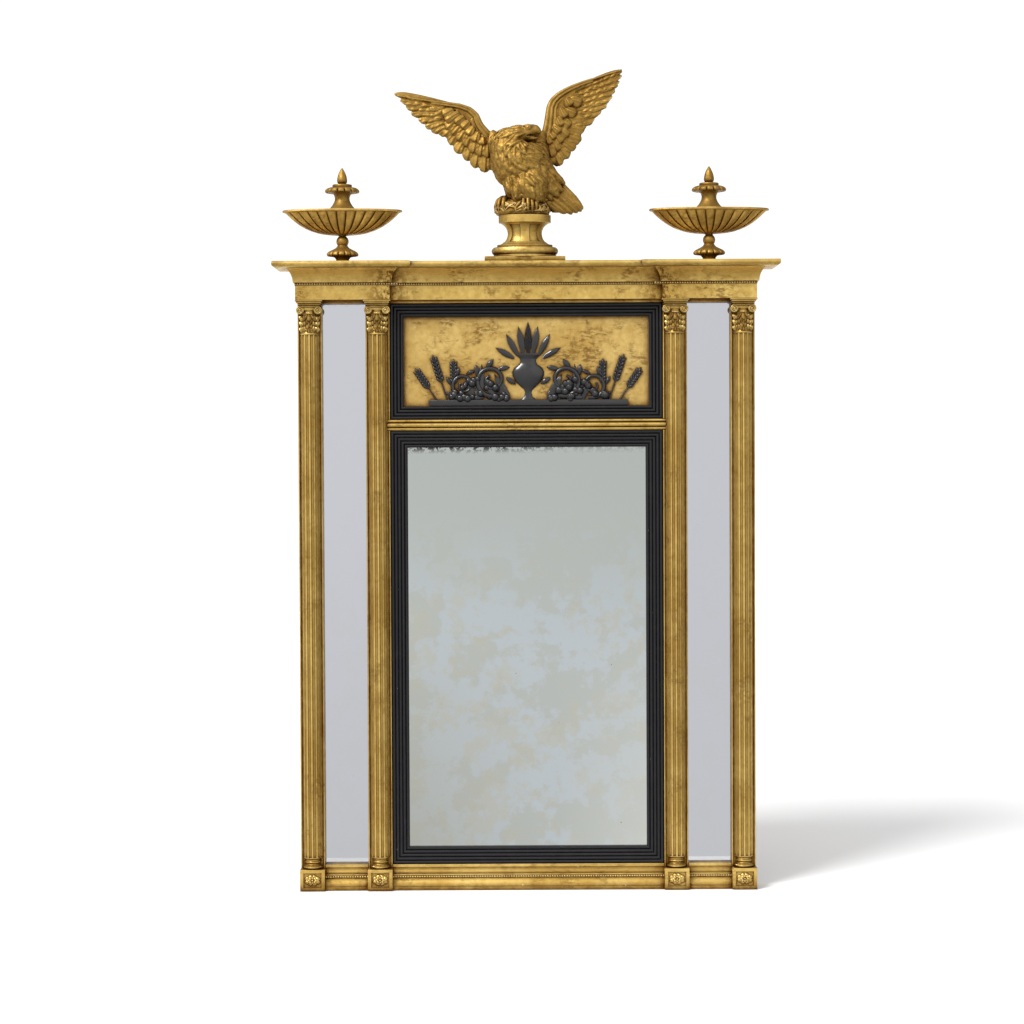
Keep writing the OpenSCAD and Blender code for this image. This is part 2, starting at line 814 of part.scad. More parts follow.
// The bowl narrows from its rim to its foot on a fuller curve than a circle,
// and its wall swells into lobes
bowl_power = 1.6;
bowl_foot_share = 0.09;
rim_lap = 5;
rim_w = 6;
dish_r = 40;
function bowl_share(h) = pow(1 - pow(1 - h, bowl_power), 1 / bowl_power);
function lobe(a, depth) = 1 - depth * (1 - abs(sin(a * bowl_lobes / 2)));
function bowl_ring(z, r, depth, n) =
    [for (i = [0:n - 1]) let(a = 360 * i / n, q = r * lobe(a, depth))
        [q * cos(a), q * sin(a) * bowl_half_d / bowl_r, z]];

module urn_bowl(side) {
    n = bowl_lobes * 4;
    rows = 5;
    wall_r = bowl_r - rim_lap;
    color(DARK_GILT) translate([side * finial_x, finial_y, bowl_z0]) skin(concat(
        [for (k = [0:rows]) let(h = k / rows)
            bowl_ring(bowl_h * h, wall_r * max(bowl_foot_share, bowl_share(h)), k == 0 ? 0 : 0.045, n)],
        [bowl_ring(bowl_h, bowl_r, 0, n), bowl_ring(bowl_h + rim_h, bowl_r, 0, n),
         bowl_ring(bowl_h + rim_h, bowl_r - rim_w, 0, n),
         bowl_ring(bowl_h + rim_h, dish_r, 0, n)]));
}

// Eagle on its plinth

// Half outline of the turned plinth, as (radius, height) above the board
board_h = 9.5;
board_half = 82.5;
cap_r = 53.6;
cap_h = 15.1;
torus_r = 8;
torus_z = 22.3;
fillet_r = 57;
waist_r = 24.5;
waist_x = fillet_r + 4;
waist_z = 58;
plinth_profile = concat(
    [[0, board_h], [plinth_r - 4, board_h], [plinth_r - 4, board_h + 4.5]],
    arc(plinth_r - torus_r, torus_z, torus_r, -88, 88, 8),
    [[fillet_r, torus_z + torus_r], [fillet_r, torus_z + torus_r + 4.6]],
    arc(waist_x, waist_z, waist_r, 250, 118, 10),
    [[cap_r, plinth_h - cap_h], [cap_r, plinth_h], [0, plinth_h]]);

// Stopped flutes round the waist, with a fillet on the centre line
plinth_flutes = 6;
plinth_flute_angle = 34;
plinth_flute_sink = 3.6;
plinth_flute_z = [41, 76];

module plinth_flute_cuts() {
    reach = plinth_r * tan(plinth_flute_angle / 2);
    for (k = [0:plinth_flutes - 1]) intersection() {
        rotate_extrude($fn = 96) intersection() {
            translate([waist_x - waist_r - 5, plinth_flute_z[0]])
                square([waist_r + 5, plinth_flute_z[1] - plinth_flute_z[0]]);
            translate([waist_x, waist_z]) circle(r = waist_r + plinth_flute_sink, $fn = 96);
        }
        rotate(360 * k / plinth_flutes) linear_extrude(plinth_h)
            polygon([[0, 0], [plinth_r, -reach], [plinth_r, reach]]);
    }
}

module eagle_plinth() {
    color(GILT) translate([eagle_x, eagle_y, slab_z1]) difference() {
        union() {
            scale([1, plinth_flat, 1]) difference() {
                rotate_extrude($fn = 96) polygon(plinth_profile);
                plinth_flute_cuts();
            }
            box(-board_half, board_half, -plinth_r * plinth_flat, 40, 0, board_h + 0.1);
        }
        for (s = [-1, 1]) translate([s * plinth_peg_x, 0, -1])
            cylinder(r = peg_r + fit / 2, h = 15, $fn = 32);
    }
}

// The perch: a lumpy rock, held by two feet with knuckled toes

bird_d = -eagle_y;
// Lumps of the rock: x, depth from the bird, radius, height
lumps = [[-5, 0, 34.5, perch_h], [-31, -2, 29, perch_h - 3.4], [23, -1, 28, perch_h - 4.6]];
feet = [[-31, 19], [15, 20]];

module lump(r, h) {
    rotate_extrude($fn = 64)
        polygon([[0, 0], [r - 2, 0], [r + 1, h * 0.2], [r, h * 0.52], [r - 5, h * 0.8], [r - 13, h], [0, h]]);
}

module toe(foot, spread) {
    x = foot[0] + spread * 0.45;
    translate([x, -foot[1], perch_h - 6.6]) sphere(r = 6.1, $fn = 24);
    translate([x + spread * 0.2, -foot[1] - 7.4, perch_h - 10.3]) sphere(r = 5.2, $fn = 24);
    translate([x + spread * 0.35, -foot[1] - 12, perch_h - 16.4]) sphere(r = 4.5, $fn = 24);
    translate([x + spread * 0.4, -foot[1] - 13, perch_h - 31]) cylinder(r1 = 0.8, r2 = 3.1, h = 14, $fn = 24);
}

module eagle_perch() {
    color(DARK_GILT) translate([eagle_x, eagle_y, perch_z0]) {
        for (l = lumps) translate([l[0], -l[1], 0]) lump(l[2], l[3]);
        for (f = feet) {
            translate([f[0] + 4, -f[1] + 6, 12]) cylinder(r = 14, h = perch_h - 12, $fn = 48);
            for (s = [-12, 0, 12]) toe(f, s);
        }
    }
}

// The bird: sections from the tail, up the trunk, over the neck to the beak.
// Each is x, depth, height above the perch, direction, half width, half depth.
trunk = [[86, -4, -32, 92, 34, 5], [70, -3, -6, 112, 29, 11], [48, -1, 16, 122, 32, 19],
         [24, 1, 36, 120, 40, 27], [-2, 3, 58, 112, 54, 33], [-6, 4, 76, 103, 58, 36],
         [-9, 5, 90, 98, 58, 35], [-14, 7, 101, 94, 52, 32], [-29.4, 9, 114.8, 76, 33.5, 26],
         [-23.5, 11, 121.8, 61.8, 30, 23], [-17.4, 13, 127.1, 48, 27.5, 21], [-7.3, 14, 129.5, 29.4, 22, 19],
         [2.6, 16, 131.2, 7.8, 19, 17.5], [15, 18, 132, -3, 17, 14.5], [23, 19.5, 131, -5, 14, 10.5],
         [28, 20, 130, -10, 9.5, 7], [32.5, 20, 126, -50, 5.5, 4], [33.5, 20, 119, -84, 2, 1.5]];
// Thighs and belly, from the perch up into the trunk, and the two shoulders
masses = [
    [[-24, 12, -6, 95, 12, 13], [-24, 14, 8, 95, 14, 15], [-20, 12, 28, 98, 19, 20], [-14, 8, 50, 100, 20, 18]],
    [[16, 16, -6, 85, 21, 16], [15, 19, 8, 85, 25, 19], [13, 17, 30, 88, 28, 24], [12, 10, 54, 92, 24, 20]],
    [[9, 2, -6, 90, 33, 18], [6, 2, 12, 94, 38, 22], [0, 2, 40, 104, 44, 27]],
    [[6, -4, 84, 60, 26, 24], [20, -5, 102, 62, 24, 22], [33, -6, 120, 66, 17, 16], [40, -7, 134, 72, 9, 10]],
    [[-40, -2, 92, 110, 24, 24], [-52, -3, 110, 118, 20, 20], [-62, -4, 124, 125, 13, 13],
     [-70, -5, 134, 130, 8, 9]]];

// Housings in the sides of the trunk for the wings, and the wings' own depth
wing_seat = [-55, 40];
wing_d = bird_d - 14;
tenon_z = [88, 90];

// The tongue on a wing's root, or its mortise when gap > 0
module wing_tenon(k, gap = 0) {
    s = k == 0 ? -1 : 1;
    translate([wing_seat[k], 0, tenon_z[k]]) scale([s, 1, 1])
        box(-18 - gap, 6, wing_d - 1 - gap, wing_d + 7 + gap, -gap, 26 + gap);
}

module wing_housing(k) {
    s = k == 0 ? -1 : 1;
    translate([wing_seat[k], 0, 0]) scale([s, 1, 1]) box(-fit, 80, 0, wing_d + 17, 42, 180);
}

module loft(sections, n) {
    skin([for (s = sections) oval(s[0], bird_d + s[1], s[2], s[3], s[4], s[5], n)]);
}

module eagle_body() {
    color(DARK_GILT) translate([eagle_x, 0, bird_z0]) difference() {
        union() {
            loft(trunk, 24);
            for (m = masses) loft(m, 14);
        }
        box(-90, 58, 0, 140, -60, 0);
        for (k = [0, 1]) {
            wing_housing(k);
            wing_tenon(k, fit);
        }
    }
}

// Wings: points are (x, height above the perch), from the root outwards
left_lead = [[-54, 126], [-70, 134], [-86, 152], [-94, 172], [-110, 186], [-134, 194],
             [-186, 200], [-262, 213]];
right_lead = [[38, 134], [43, 150], [47, 174], [53, 194], [70, 212], [102, 230], [142, 241], [198, 257]];

// Rows of feathers, each from the wing's tip inwards: the line that the roots
// stand on, the place of every tip, width, and depth from the wing's own
left_rows = [
    [[[-152, 194], [-150, 172], [-141, 144]],
     [[-269, 215], [-257, 201], [-245, 189], [-234, 174], [-219, 160], [-205, 147], [-192, 137],
      [-177, 131], [-164, 126]], 17, -5],
    [[[-137, 157], [-114, 141], [-90, 123], [-68, 116]],
     [[-165, 127], [-154, 109], [-140, 91], [-120, 76], [-103, 60], [-83, 51], [-67, 56]], 22, -1.6],
    [[[-129, 168], [-112, 154], [-95, 135], [-76, 123]],
     [[-161, 141], [-149, 129], [-137, 116], [-121, 104], [-107, 91], [-92, 84], [-76, 81]], 18, 1.6],
    [[[-140, 179], [-121, 171], [-106, 157], [-93, 140], [-78, 126]],
     [[-168, 169], [-163, 157], [-143, 152], [-128, 141], [-116, 127], [-103, 113], [-85, 107]], 16, 4.4]];
right_rows = [
    [[[97, 224], [94, 194], [94, 168], [94, 140]],
     [[205, 262], [199, 240], [189, 221], [183, 207], [173, 193], [160, 178], [146, 161],
              [129, 150]], 18, -5],
    [[[72, 159], [67, 135], [54, 122], [46, 116]],
     [[127, 162], [125, 138], [118, 116], [106, 99], [92, 80], [74, 64], [57, 66]], 23, -1.6],
    [[[85, 205], [68, 170], [60, 145], [50, 128], [44, 118]],
     [[119, 193], [108, 171], [95, 145], [91, 124], [76, 110], [70, 94], [57, 81]], 19, 1.6],
    [[[72, 197], [65, 173], [57, 151], [46, 130], [37, 124]],
     [[96, 187], [84, 162], [76, 145], [74, 132], [61, 118], [52, 107]], 16, 4.4]];
feather_t = 4.4;
feather_rise = 0.35;

// A point part of the way along a list of points
function along(points, s) = let(
    q = max(0, min(0.9999, s)) * (len(points) - 1),
    i = floor(q)) points[i] + (points[i + 1] - points[i]) * (q - i);

// Outline of a feather of length 1: a narrow root and a rounded tip
feather_outline = concat(
    [[0, 0.22], [0.3, 0.4], [0.6, 0.5], [0.8, 0.47], [0.91, 0.37], [0.975, 0.2], [1, 0]],
    [[0.975, -0.2], [0.91, -0.37], [0.8, -0.47], [0.6, -0.5], [0.3, -0.4], [0, -0.22]]);

// A flat feather from root to tip, with its back at the given depth
module feather(root, tip, w, depth, t) {
    d = tip - root;
    l = norm(d);
    translate([root[0], -depth, root[1]]) rotate([90, 0, 0]) linear_extrude(t)
        rotate(atan2(d[1], d[0])) polygon([for (p = feather_outline) [p[0] * l, p[1] * w]]);
}

// One row of feathers, each a little in front of the one outside it
module feather_row(row) {
    n = len(row[1]);
    for (i = [0:n - 1])
        feather(along(row[0], i / (n - 1)), row[1][i], row[2], wing_d + row[3] + feather_rise * i, feather_t);
}

// The web that joins the feathers, from the leading edge to well inside the tips
module wing_web(lead, rows) {
    edge = [for (r = [0, 1]) let(n = len(rows[r][1])) for (i = [0:n - 1])
        rows[r][1][i] * 0.66 + along(rows[r][0], i / (n - 1)) * 0.34];
    run_out(wing_d - 4.3, wing_d + 3.7) polygon(concat(lead, edge));
}

// A band along the leading edge that narrows from w at the root to w * 0.3
module lead_band(lead, w, depth, t) {
    n = len(lead);
    edge = [for (i = [0:n - 1]) let(
        d = lead[min(i + 1, n - 1)] - lead[max(i - 1, 0)],
        u = [-d[1], d[0]] / norm(d))
        [lead[i] + u * w * (0.5 - 0.35 * i / (n - 1)), lead[i] - u * w * (0.5 - 0.35 * i / (n - 1))]];
    run_out(depth, depth + t)
        polygon(concat([for (e = edge) e[0]], [for (i = [n - 1:-1:0]) edge[i][1]]));
}

module wing(k, lead, rows) {
    side = k == 0 ? -1 : 1;
    difference() {
        union() {
            wing_web(lead, rows);
            for (row = rows) feather_row(row);
            lead_band(lead, 17, wing_d - 3, 14.2);
            lead_band(lead, 11, wing_d + 8, 5);
        }
        translate([wing_seat[k], 0, 0]) scale([side, 1, 1]) box(-90, 0, 0, 120, 0, 250);
    }
    wing_tenon(k);
}

module eagle_wing(k) {
    color(DARK_GILT) translate([eagle_x, 0, bird_z0])
        wing(k, k == 0 ? left_lead : right_lead, k == 0 ? left_rows : right_rows);
}

// Relief on the tablet: a vase between leaf scrolls and ears of corn

relief_x = 4;
relief_half = 206;
ground_h = 12;

// A scroll that stands on the ground, opening to +X
module ground_scroll(r, w) {
    polygon(scroll_band(r, w, 1.6, 20));
}

// A pointed leaf from the origin to (0, h)
module leaf(w, h) {
    polygon(concat([for (t = [0:0.125:1]) [w / 2 * sin(180 * pow(t, 0.8)), h * t]],
                   [for (t = [0.875:-0.125:0.125]) [-w / 2 * sin(180 * pow(t, 0.8)), h * t]]));
}

module corn_ear(h) {
    translate([-1.2, 0]) square([2.4, h * 0.6]);
    for (k = [0:4], s = [-1, 1])
        translate([0, h * (0.42 + 0.1 * k)]) rotate(s * -38) leaf(6, 15);
    translate([0, h * 0.85]) leaf(6, h * 0.2);
}

module relief_outline() {
    translate([-relief_half, 0]) square([2 * relief_half, ground_h]);
    // The vase, half drawn and mirrored
    for (s = [0, 1]) mirror([s, 0]) polygon(concat(
        [[0, 0], [22, 0], [22, 8], [10, 18], [7, 26], [16, 34]],
        arc(0, 62, 33, -58, 20, 8), [[24, 78], [17, 88], [24, 100], [26, 106], [0, 106]]));
    for (s = [0, 1]) mirror([s, 0]) {
        translate([relief_half * 0.36, 44]) rotate(-140) ground_scroll(36, 9);
        translate([relief_half * 0.64, 36]) rotate(-140) mirror([0, 1]) rotate(80) ground_scroll(28, 8);
        translate([relief_half * 0.2, ground_h / 2]) rotate(-24) leaf(20, 62);
        translate([relief_half * 0.5, ground_h / 2]) rotate(12) leaf(18, 74);
        translate([relief_half * 0.74, ground_h / 2]) rotate(4) corn_ear(72);
        translate([relief_half * 0.8, ground_h / 2]) rotate(-18) corn_ear(84);
        translate([relief_half * 0.86, ground_h / 2]) rotate(-34) corn_ear(64);
        translate([44, 92]) rotate(60) leaf(12, 36);
    }
}

module tablet_relief() {
    color(EBONY) translate([relief_x, 0, tablet_sight_z0 + 1]) run_out(carcase_t, carcase_t + relief_t)
        intersection() {
            relief_outline();
            translate([-relief_half, 0]) square([2 * relief_half, tablet_sight_h]);
        }
}

// Pegs and hanging hardware

module finial_pegs() {
    color(PINE) {
        for (s = [-1, 1]) {
            translate([s * finial_x, finial_y, peg_z0 + fit])
                cylinder(r = peg_r, h = peg_l - 2 * fit, $fn = 32);
            translate([eagle_x + s * plinth_peg_x, eagle_y, peg_z0 + fit])
                cylinder(r = peg_r, h = peg_l - 2 * fit, $fn = 32);
        }
    }
}

// The plate's bed, the relief behind its hole and the screw holes
module hanging_recess(side) {
    x = side * hang_x;
    box(x - hang_w / 2 - fit, x + hang_w / 2 + fit, -1, hang_t,
        hang_z - hang_l / 2 - fit, hang_z + hang_l / 2 + fit);
    translate([x, 1, hang_z]) rotate([90, 0, 0]) cylinder(r = hang_r + 3, h = hang_t + 13, $fn = 32);
    for (z = hang_screw_z)
        translate([x, 1, hang_z + z]) rotate([90, 0, 0])
            cylinder(r = hang_screw_r + fit / 2, h = hang_t + hang_screw_l, $fn = 24);
}

module hanging_plates() {
    color(IRON) for (s = [-1, 1]) difference() {
        box(s * hang_x - hang_w / 2, s * hang_x + hang_w / 2, 0, hang_t,
            hang_z - hang_l / 2, hang_z + hang_l / 2);
        translate([s * hang_x, 1, hang_z]) rotate([90, 0, 0]) cylinder(r = hang_r, h = hang_t + 2, $fn = 48);
        for (z = hang_screw_z) translate([s * hang_x, 0, hang_z + z]) rotate([90, 0, 0]) {
            translate([0, 0, -1]) cylinder(r = hang_screw_r + fit / 2, h = hang_t + 2, $fn = 24);
            translate([0, 0, -0.01])
                cylinder(r1 = 2 * hang_screw_r + fit / 2, r2 = hang_screw_r + fit / 2, h = 2, $fn = 24);
        }
    }
}

module hanging_screws() {
    color(IRON) for (s = [-1, 1], z = hang_screw_z)
        translate([s * hang_x, 0, hang_z + z]) rotate([90, 0, 0]) {
            cylinder(r = hang_screw_r, h = hang_screw_l, $fn = 24);
            cylinder(r1 = 2 * hang_screw_r, r2 = hang_screw_r, h = 2, $fn = 24);
        }
}

for (i = [0:3]) {
    stile(i);
    pilaster(i);
    shaft(i);
    capital(i);
    block(i);
}
column_bases();
top_rail();
cross_rail();
bottom_rail();
side_backboard(-1);  // left_backboard
main_backboard();
side_backboard(1);  // right_backboard
side_plate(-1);  // left_plate
main_plate();
side_plate(1);  // right_plate
glue_blocks();
main_moulding_rails();
main_moulding_stiles();
tablet_moulding_rails();
tablet_moulding_stiles();
tablet_panel();
tablet_relief();
divider();
entablature_side(-1);  // entablature_left
entablature_centre();
entablature_side(1);  // entablature_right
cornice_board();
bead_strings();
base_moulding(0);  // base_moulding_left
base_moulding(1);  // base_moulding_centre
base_moulding(2);  // base_moulding_right
urn_foot(-1);  // left_urn_foot
urn_bowl(-1);  // left_urn_bowl
urn_cover(-1);  // left_urn_cover
urn_foot(1);  // right_urn_foot
urn_bowl(1);  // right_urn_bowl
urn_cover(1);  // right_urn_cover
eagle_plinth();
eagle_perch();
eagle_body();
eagle_wing(0);  // eagle_left_wing
eagle_wing(1);  // eagle_right_wing
finial_pegs();
hanging_plates();
hanging_screws();
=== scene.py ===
"""Gilt pier mirror: carving, finishes and studio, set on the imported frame.

The frame gives the carcase, plates, mouldings and columns. This file models
the carved work over it and finishes every surface. Lengths in the tables are
millimetres, given as x, depth from the wall and height.
"""

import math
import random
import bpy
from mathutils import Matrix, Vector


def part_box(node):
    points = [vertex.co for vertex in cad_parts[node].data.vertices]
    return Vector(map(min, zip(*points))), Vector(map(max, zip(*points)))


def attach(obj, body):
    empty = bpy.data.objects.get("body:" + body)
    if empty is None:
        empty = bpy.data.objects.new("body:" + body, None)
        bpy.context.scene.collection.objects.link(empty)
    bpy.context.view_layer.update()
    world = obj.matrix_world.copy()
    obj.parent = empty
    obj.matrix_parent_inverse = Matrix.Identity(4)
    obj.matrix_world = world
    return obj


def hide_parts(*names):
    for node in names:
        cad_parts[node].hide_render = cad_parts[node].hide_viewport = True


bl_info = {
    "name": "Gilt Pier Mirror",
    "version": (1, 0, 0),
    "blender": (4, 5, 0),
    "location": "View3D > Sidebar > Pier Mirror",
    "description": "Carving, finishes and studio of a gilt pier mirror",
    "category": "Object",
}

import bmesh
import bpy
from mathutils import Matrix, Vector

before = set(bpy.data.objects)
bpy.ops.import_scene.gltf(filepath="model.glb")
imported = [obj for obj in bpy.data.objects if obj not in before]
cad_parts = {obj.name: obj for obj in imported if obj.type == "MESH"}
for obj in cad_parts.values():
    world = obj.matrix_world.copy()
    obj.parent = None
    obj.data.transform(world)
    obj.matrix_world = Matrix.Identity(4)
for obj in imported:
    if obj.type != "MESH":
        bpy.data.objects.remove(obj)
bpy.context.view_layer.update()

MM = 0.001
COLUMNS = ("left_outer", "left_inner", "right_inner", "right_outer")


def middle(node):
    """The x of a node's centre line, in millimetres."""
    low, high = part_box(node)
    return (low.x + high.x) / 2 / MM


def span(node):
    """A node's box in millimetres: x, depth from the wall and height, low then high."""
    low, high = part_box(node)
    return (low.x / MM, high.x / MM, -high.y / MM, -low.y / MM, low.z / MM, high.z / MM)


COLUMN_X = [middle(f"{name}_shaft") for name in COLUMNS]
FIELD_DEPTH = span("left_outer_shaft")[2]
CAPITAL_Z = span("left_outer_shaft")[5]
BOWL = {side: span(f"{side}_urn_bowl") for side in ("left", "right")}
PLINTH = span("eagle_plinth")
EAGLE_X = (PLINTH[0] + PLINTH[1]) / 2
PERCH_Z = PLINTH[5]
BIRD_Z = PERCH_Z + 39
BIRD_DEPTH = 58


# Colours


def linear(hex_colour):
    """An sRGB hex colour as linear red, green, blue and alpha."""
    parts = [int(hex_colour[i : i + 2], 16) / 255 for i in (1, 3, 5)]
    return [p / 12.92 if p <= 0.04045 else ((p + 0.055) / 1.055) ** 2.4 for p in parts] + [1.0]


def colour(name, hex_colour, description):
    """A colour property with its default as sRGB hex."""
    return bpy.props.FloatVectorProperty(
        name=name, description=description, subtype="COLOR", size=4, min=0, max=1, default=linear(hex_colour)
    )


def length(name, millimetres, description):
    """A length property with its default in millimetres."""
    return bpy.props.FloatProperty(
        name=name, description=description, unit="LENGTH", subtype="DISTANCE", min=0, default=millimetres * MM
    )


class MirrorSizes(bpy.types.PropertyGroup):
    """Sizes of the carved work."""

    bead_pitch: length("Bead pitch", 5, "Distance between the beads of the pearl strings")
    bead_size: length("Bead size", 3.8, "Diameter of a bead")
    edge_wear: length("Edge softness", 0.5, "Rounding of the plinth blocks' edges")
    panel_border: length("Panel border", 6, "Border round the sunk panel of a plinth block")
    panel_sink: length("Panel depth", 2.5, "Depth of the sunk panel")
    scroll_radius: length("Scroll radius", 8.3, "Radius of the capitals' scrolls")
    lobe_depth: length("Lobe depth", 3.4, "Depth of the grooves between the bowl's lobes")
    relief_height: length("Relief height", 6, "How far the tablet's relief stands off its board")
    plume_length: length("Plume length", 30, "Length of the small feathers on the eagle's body")
    rock_grain: length("Rock grain", 2.2, "Roughness of the rock under the eagle")
    lobes: bpy.props.IntProperty(name="Lobes", description="Lobes round each bowl", default=26, min=12, max=48)


class MirrorColours(bpy.types.PropertyGroup):
    """Colours of the finishes and the studio."""

    leaf: colour("Gold leaf", "#D6B76A", "Flat gilding of the frieze, mouldings and columns")
    leaf_deep: colour("Rubbed leaf", "#9A742A", "Gilding where it has thinned")
    old_leaf: colour("Old gold leaf", "#AF8D47", "Older gilding on the crest and the finials")
    old_leaf_deep: colour("Old rubbed leaf", "#6E4C16", "Older gilding where it has thinned")
    tablet_leaf: colour("Tablet leaf", "#C9AC68", "Gilding of the tablet's ground")
    # The rubbed-edge colour also paints highlights on convex edges and on the beads
    rubbed_and_highlit_leaf: colour("Rubbed edges", "#E6CD8C", "Leaf burnished bright on the edges")
    # The wax colour also stands for painted shade in the hollows and under the mouldings
    wax: colour("Wax and dirt", "#573204", "What has settled in the hollows")
    gesso: colour("Gesso", "#D9D2C0", "Chalk ground that shows where the leaf has chipped")
    ebony: colour("Ebonised wood", "#121114", "Black stain of the mouldings and the relief")
    silvering: colour("Silvering", "#B6BAB6", "Reflecting layer of the main plate")
    silvering_side: colour("Side silvering", "#C2C3C9", "Reflecting layer of the side plates")
    foxing: colour("Foxing", "#2F2A22", "Specks where the silvering has gone")
    pine: colour("Pine", "#A67F50", "Bare wood of the carcase")
    iron: colour("Iron", "#3B3936", "Hanging plates and screws")
    floor: colour("Floor", "#F6F6F6", "Studio floor")


def sizes():
    return bpy.context.scene.mirror_sizes


def colours():
    return bpy.context.scene.mirror_colours


# Finishes


def add(tree, kind, inputs=None, **settings):
    """Adds a node with its settings, and sets or links the inputs given."""
    node = tree.nodes.new(kind)
    for name, value in settings.items():
        setattr(node, name, value)
    for socket, value in (inputs or {}).items():
        if isinstance(value, bpy.types.NodeSocket):
            tree.links.new(value, node.inputs[socket])
        else:
            node.inputs[socket].default_value = value
    return node


def start(name):
    """An empty node material with its shader, its output and the Object coordinates."""
    material = bpy.data.materials.new(name)
    material.use_nodes = True
    tree = material.node_tree
    tree.nodes.clear()
    shader = add(tree, "ShaderNodeBsdfPrincipled")
    add(tree, "ShaderNodeOutputMaterial", {"Surface": shader.outputs[0]})
    place = add(tree, "ShaderNodeTexCoord").outputs["Object"]
    return material, tree, shader, place


def grain(tree, place, size, detail=3, rough=0.55):
    """Noise whose blotches are about size millimetres across, as a 0 to 1 value."""
    return add(
        tree, "ShaderNodeTexNoise",
        {"Vector": place, "Scale": 1 / (size * MM), "Detail": detail, "Roughness": rough},
    ).outputs[0]


def step(tree, value, low, high, to_low=0.0, to_high=1.0):
    """A value spread from one range to another, and held at its ends."""
    inputs = {"Value": value, "From Min": low, "From Max": high, "To Min": to_low, "To Max": to_high}
    return add(tree, "ShaderNodeMapRange", inputs).outputs[0]


def blend(tree, share, first, second):
    """A mix of two colours."""
    return add(tree, "ShaderNodeMix", {0: share, 6: first, 7: second}, data_type="RGBA").outputs[2]


def times(tree, first, second):
    return add(tree, "ShaderNodeMath", {0: first, 1: second}, operation="MULTIPLY").outputs[0]


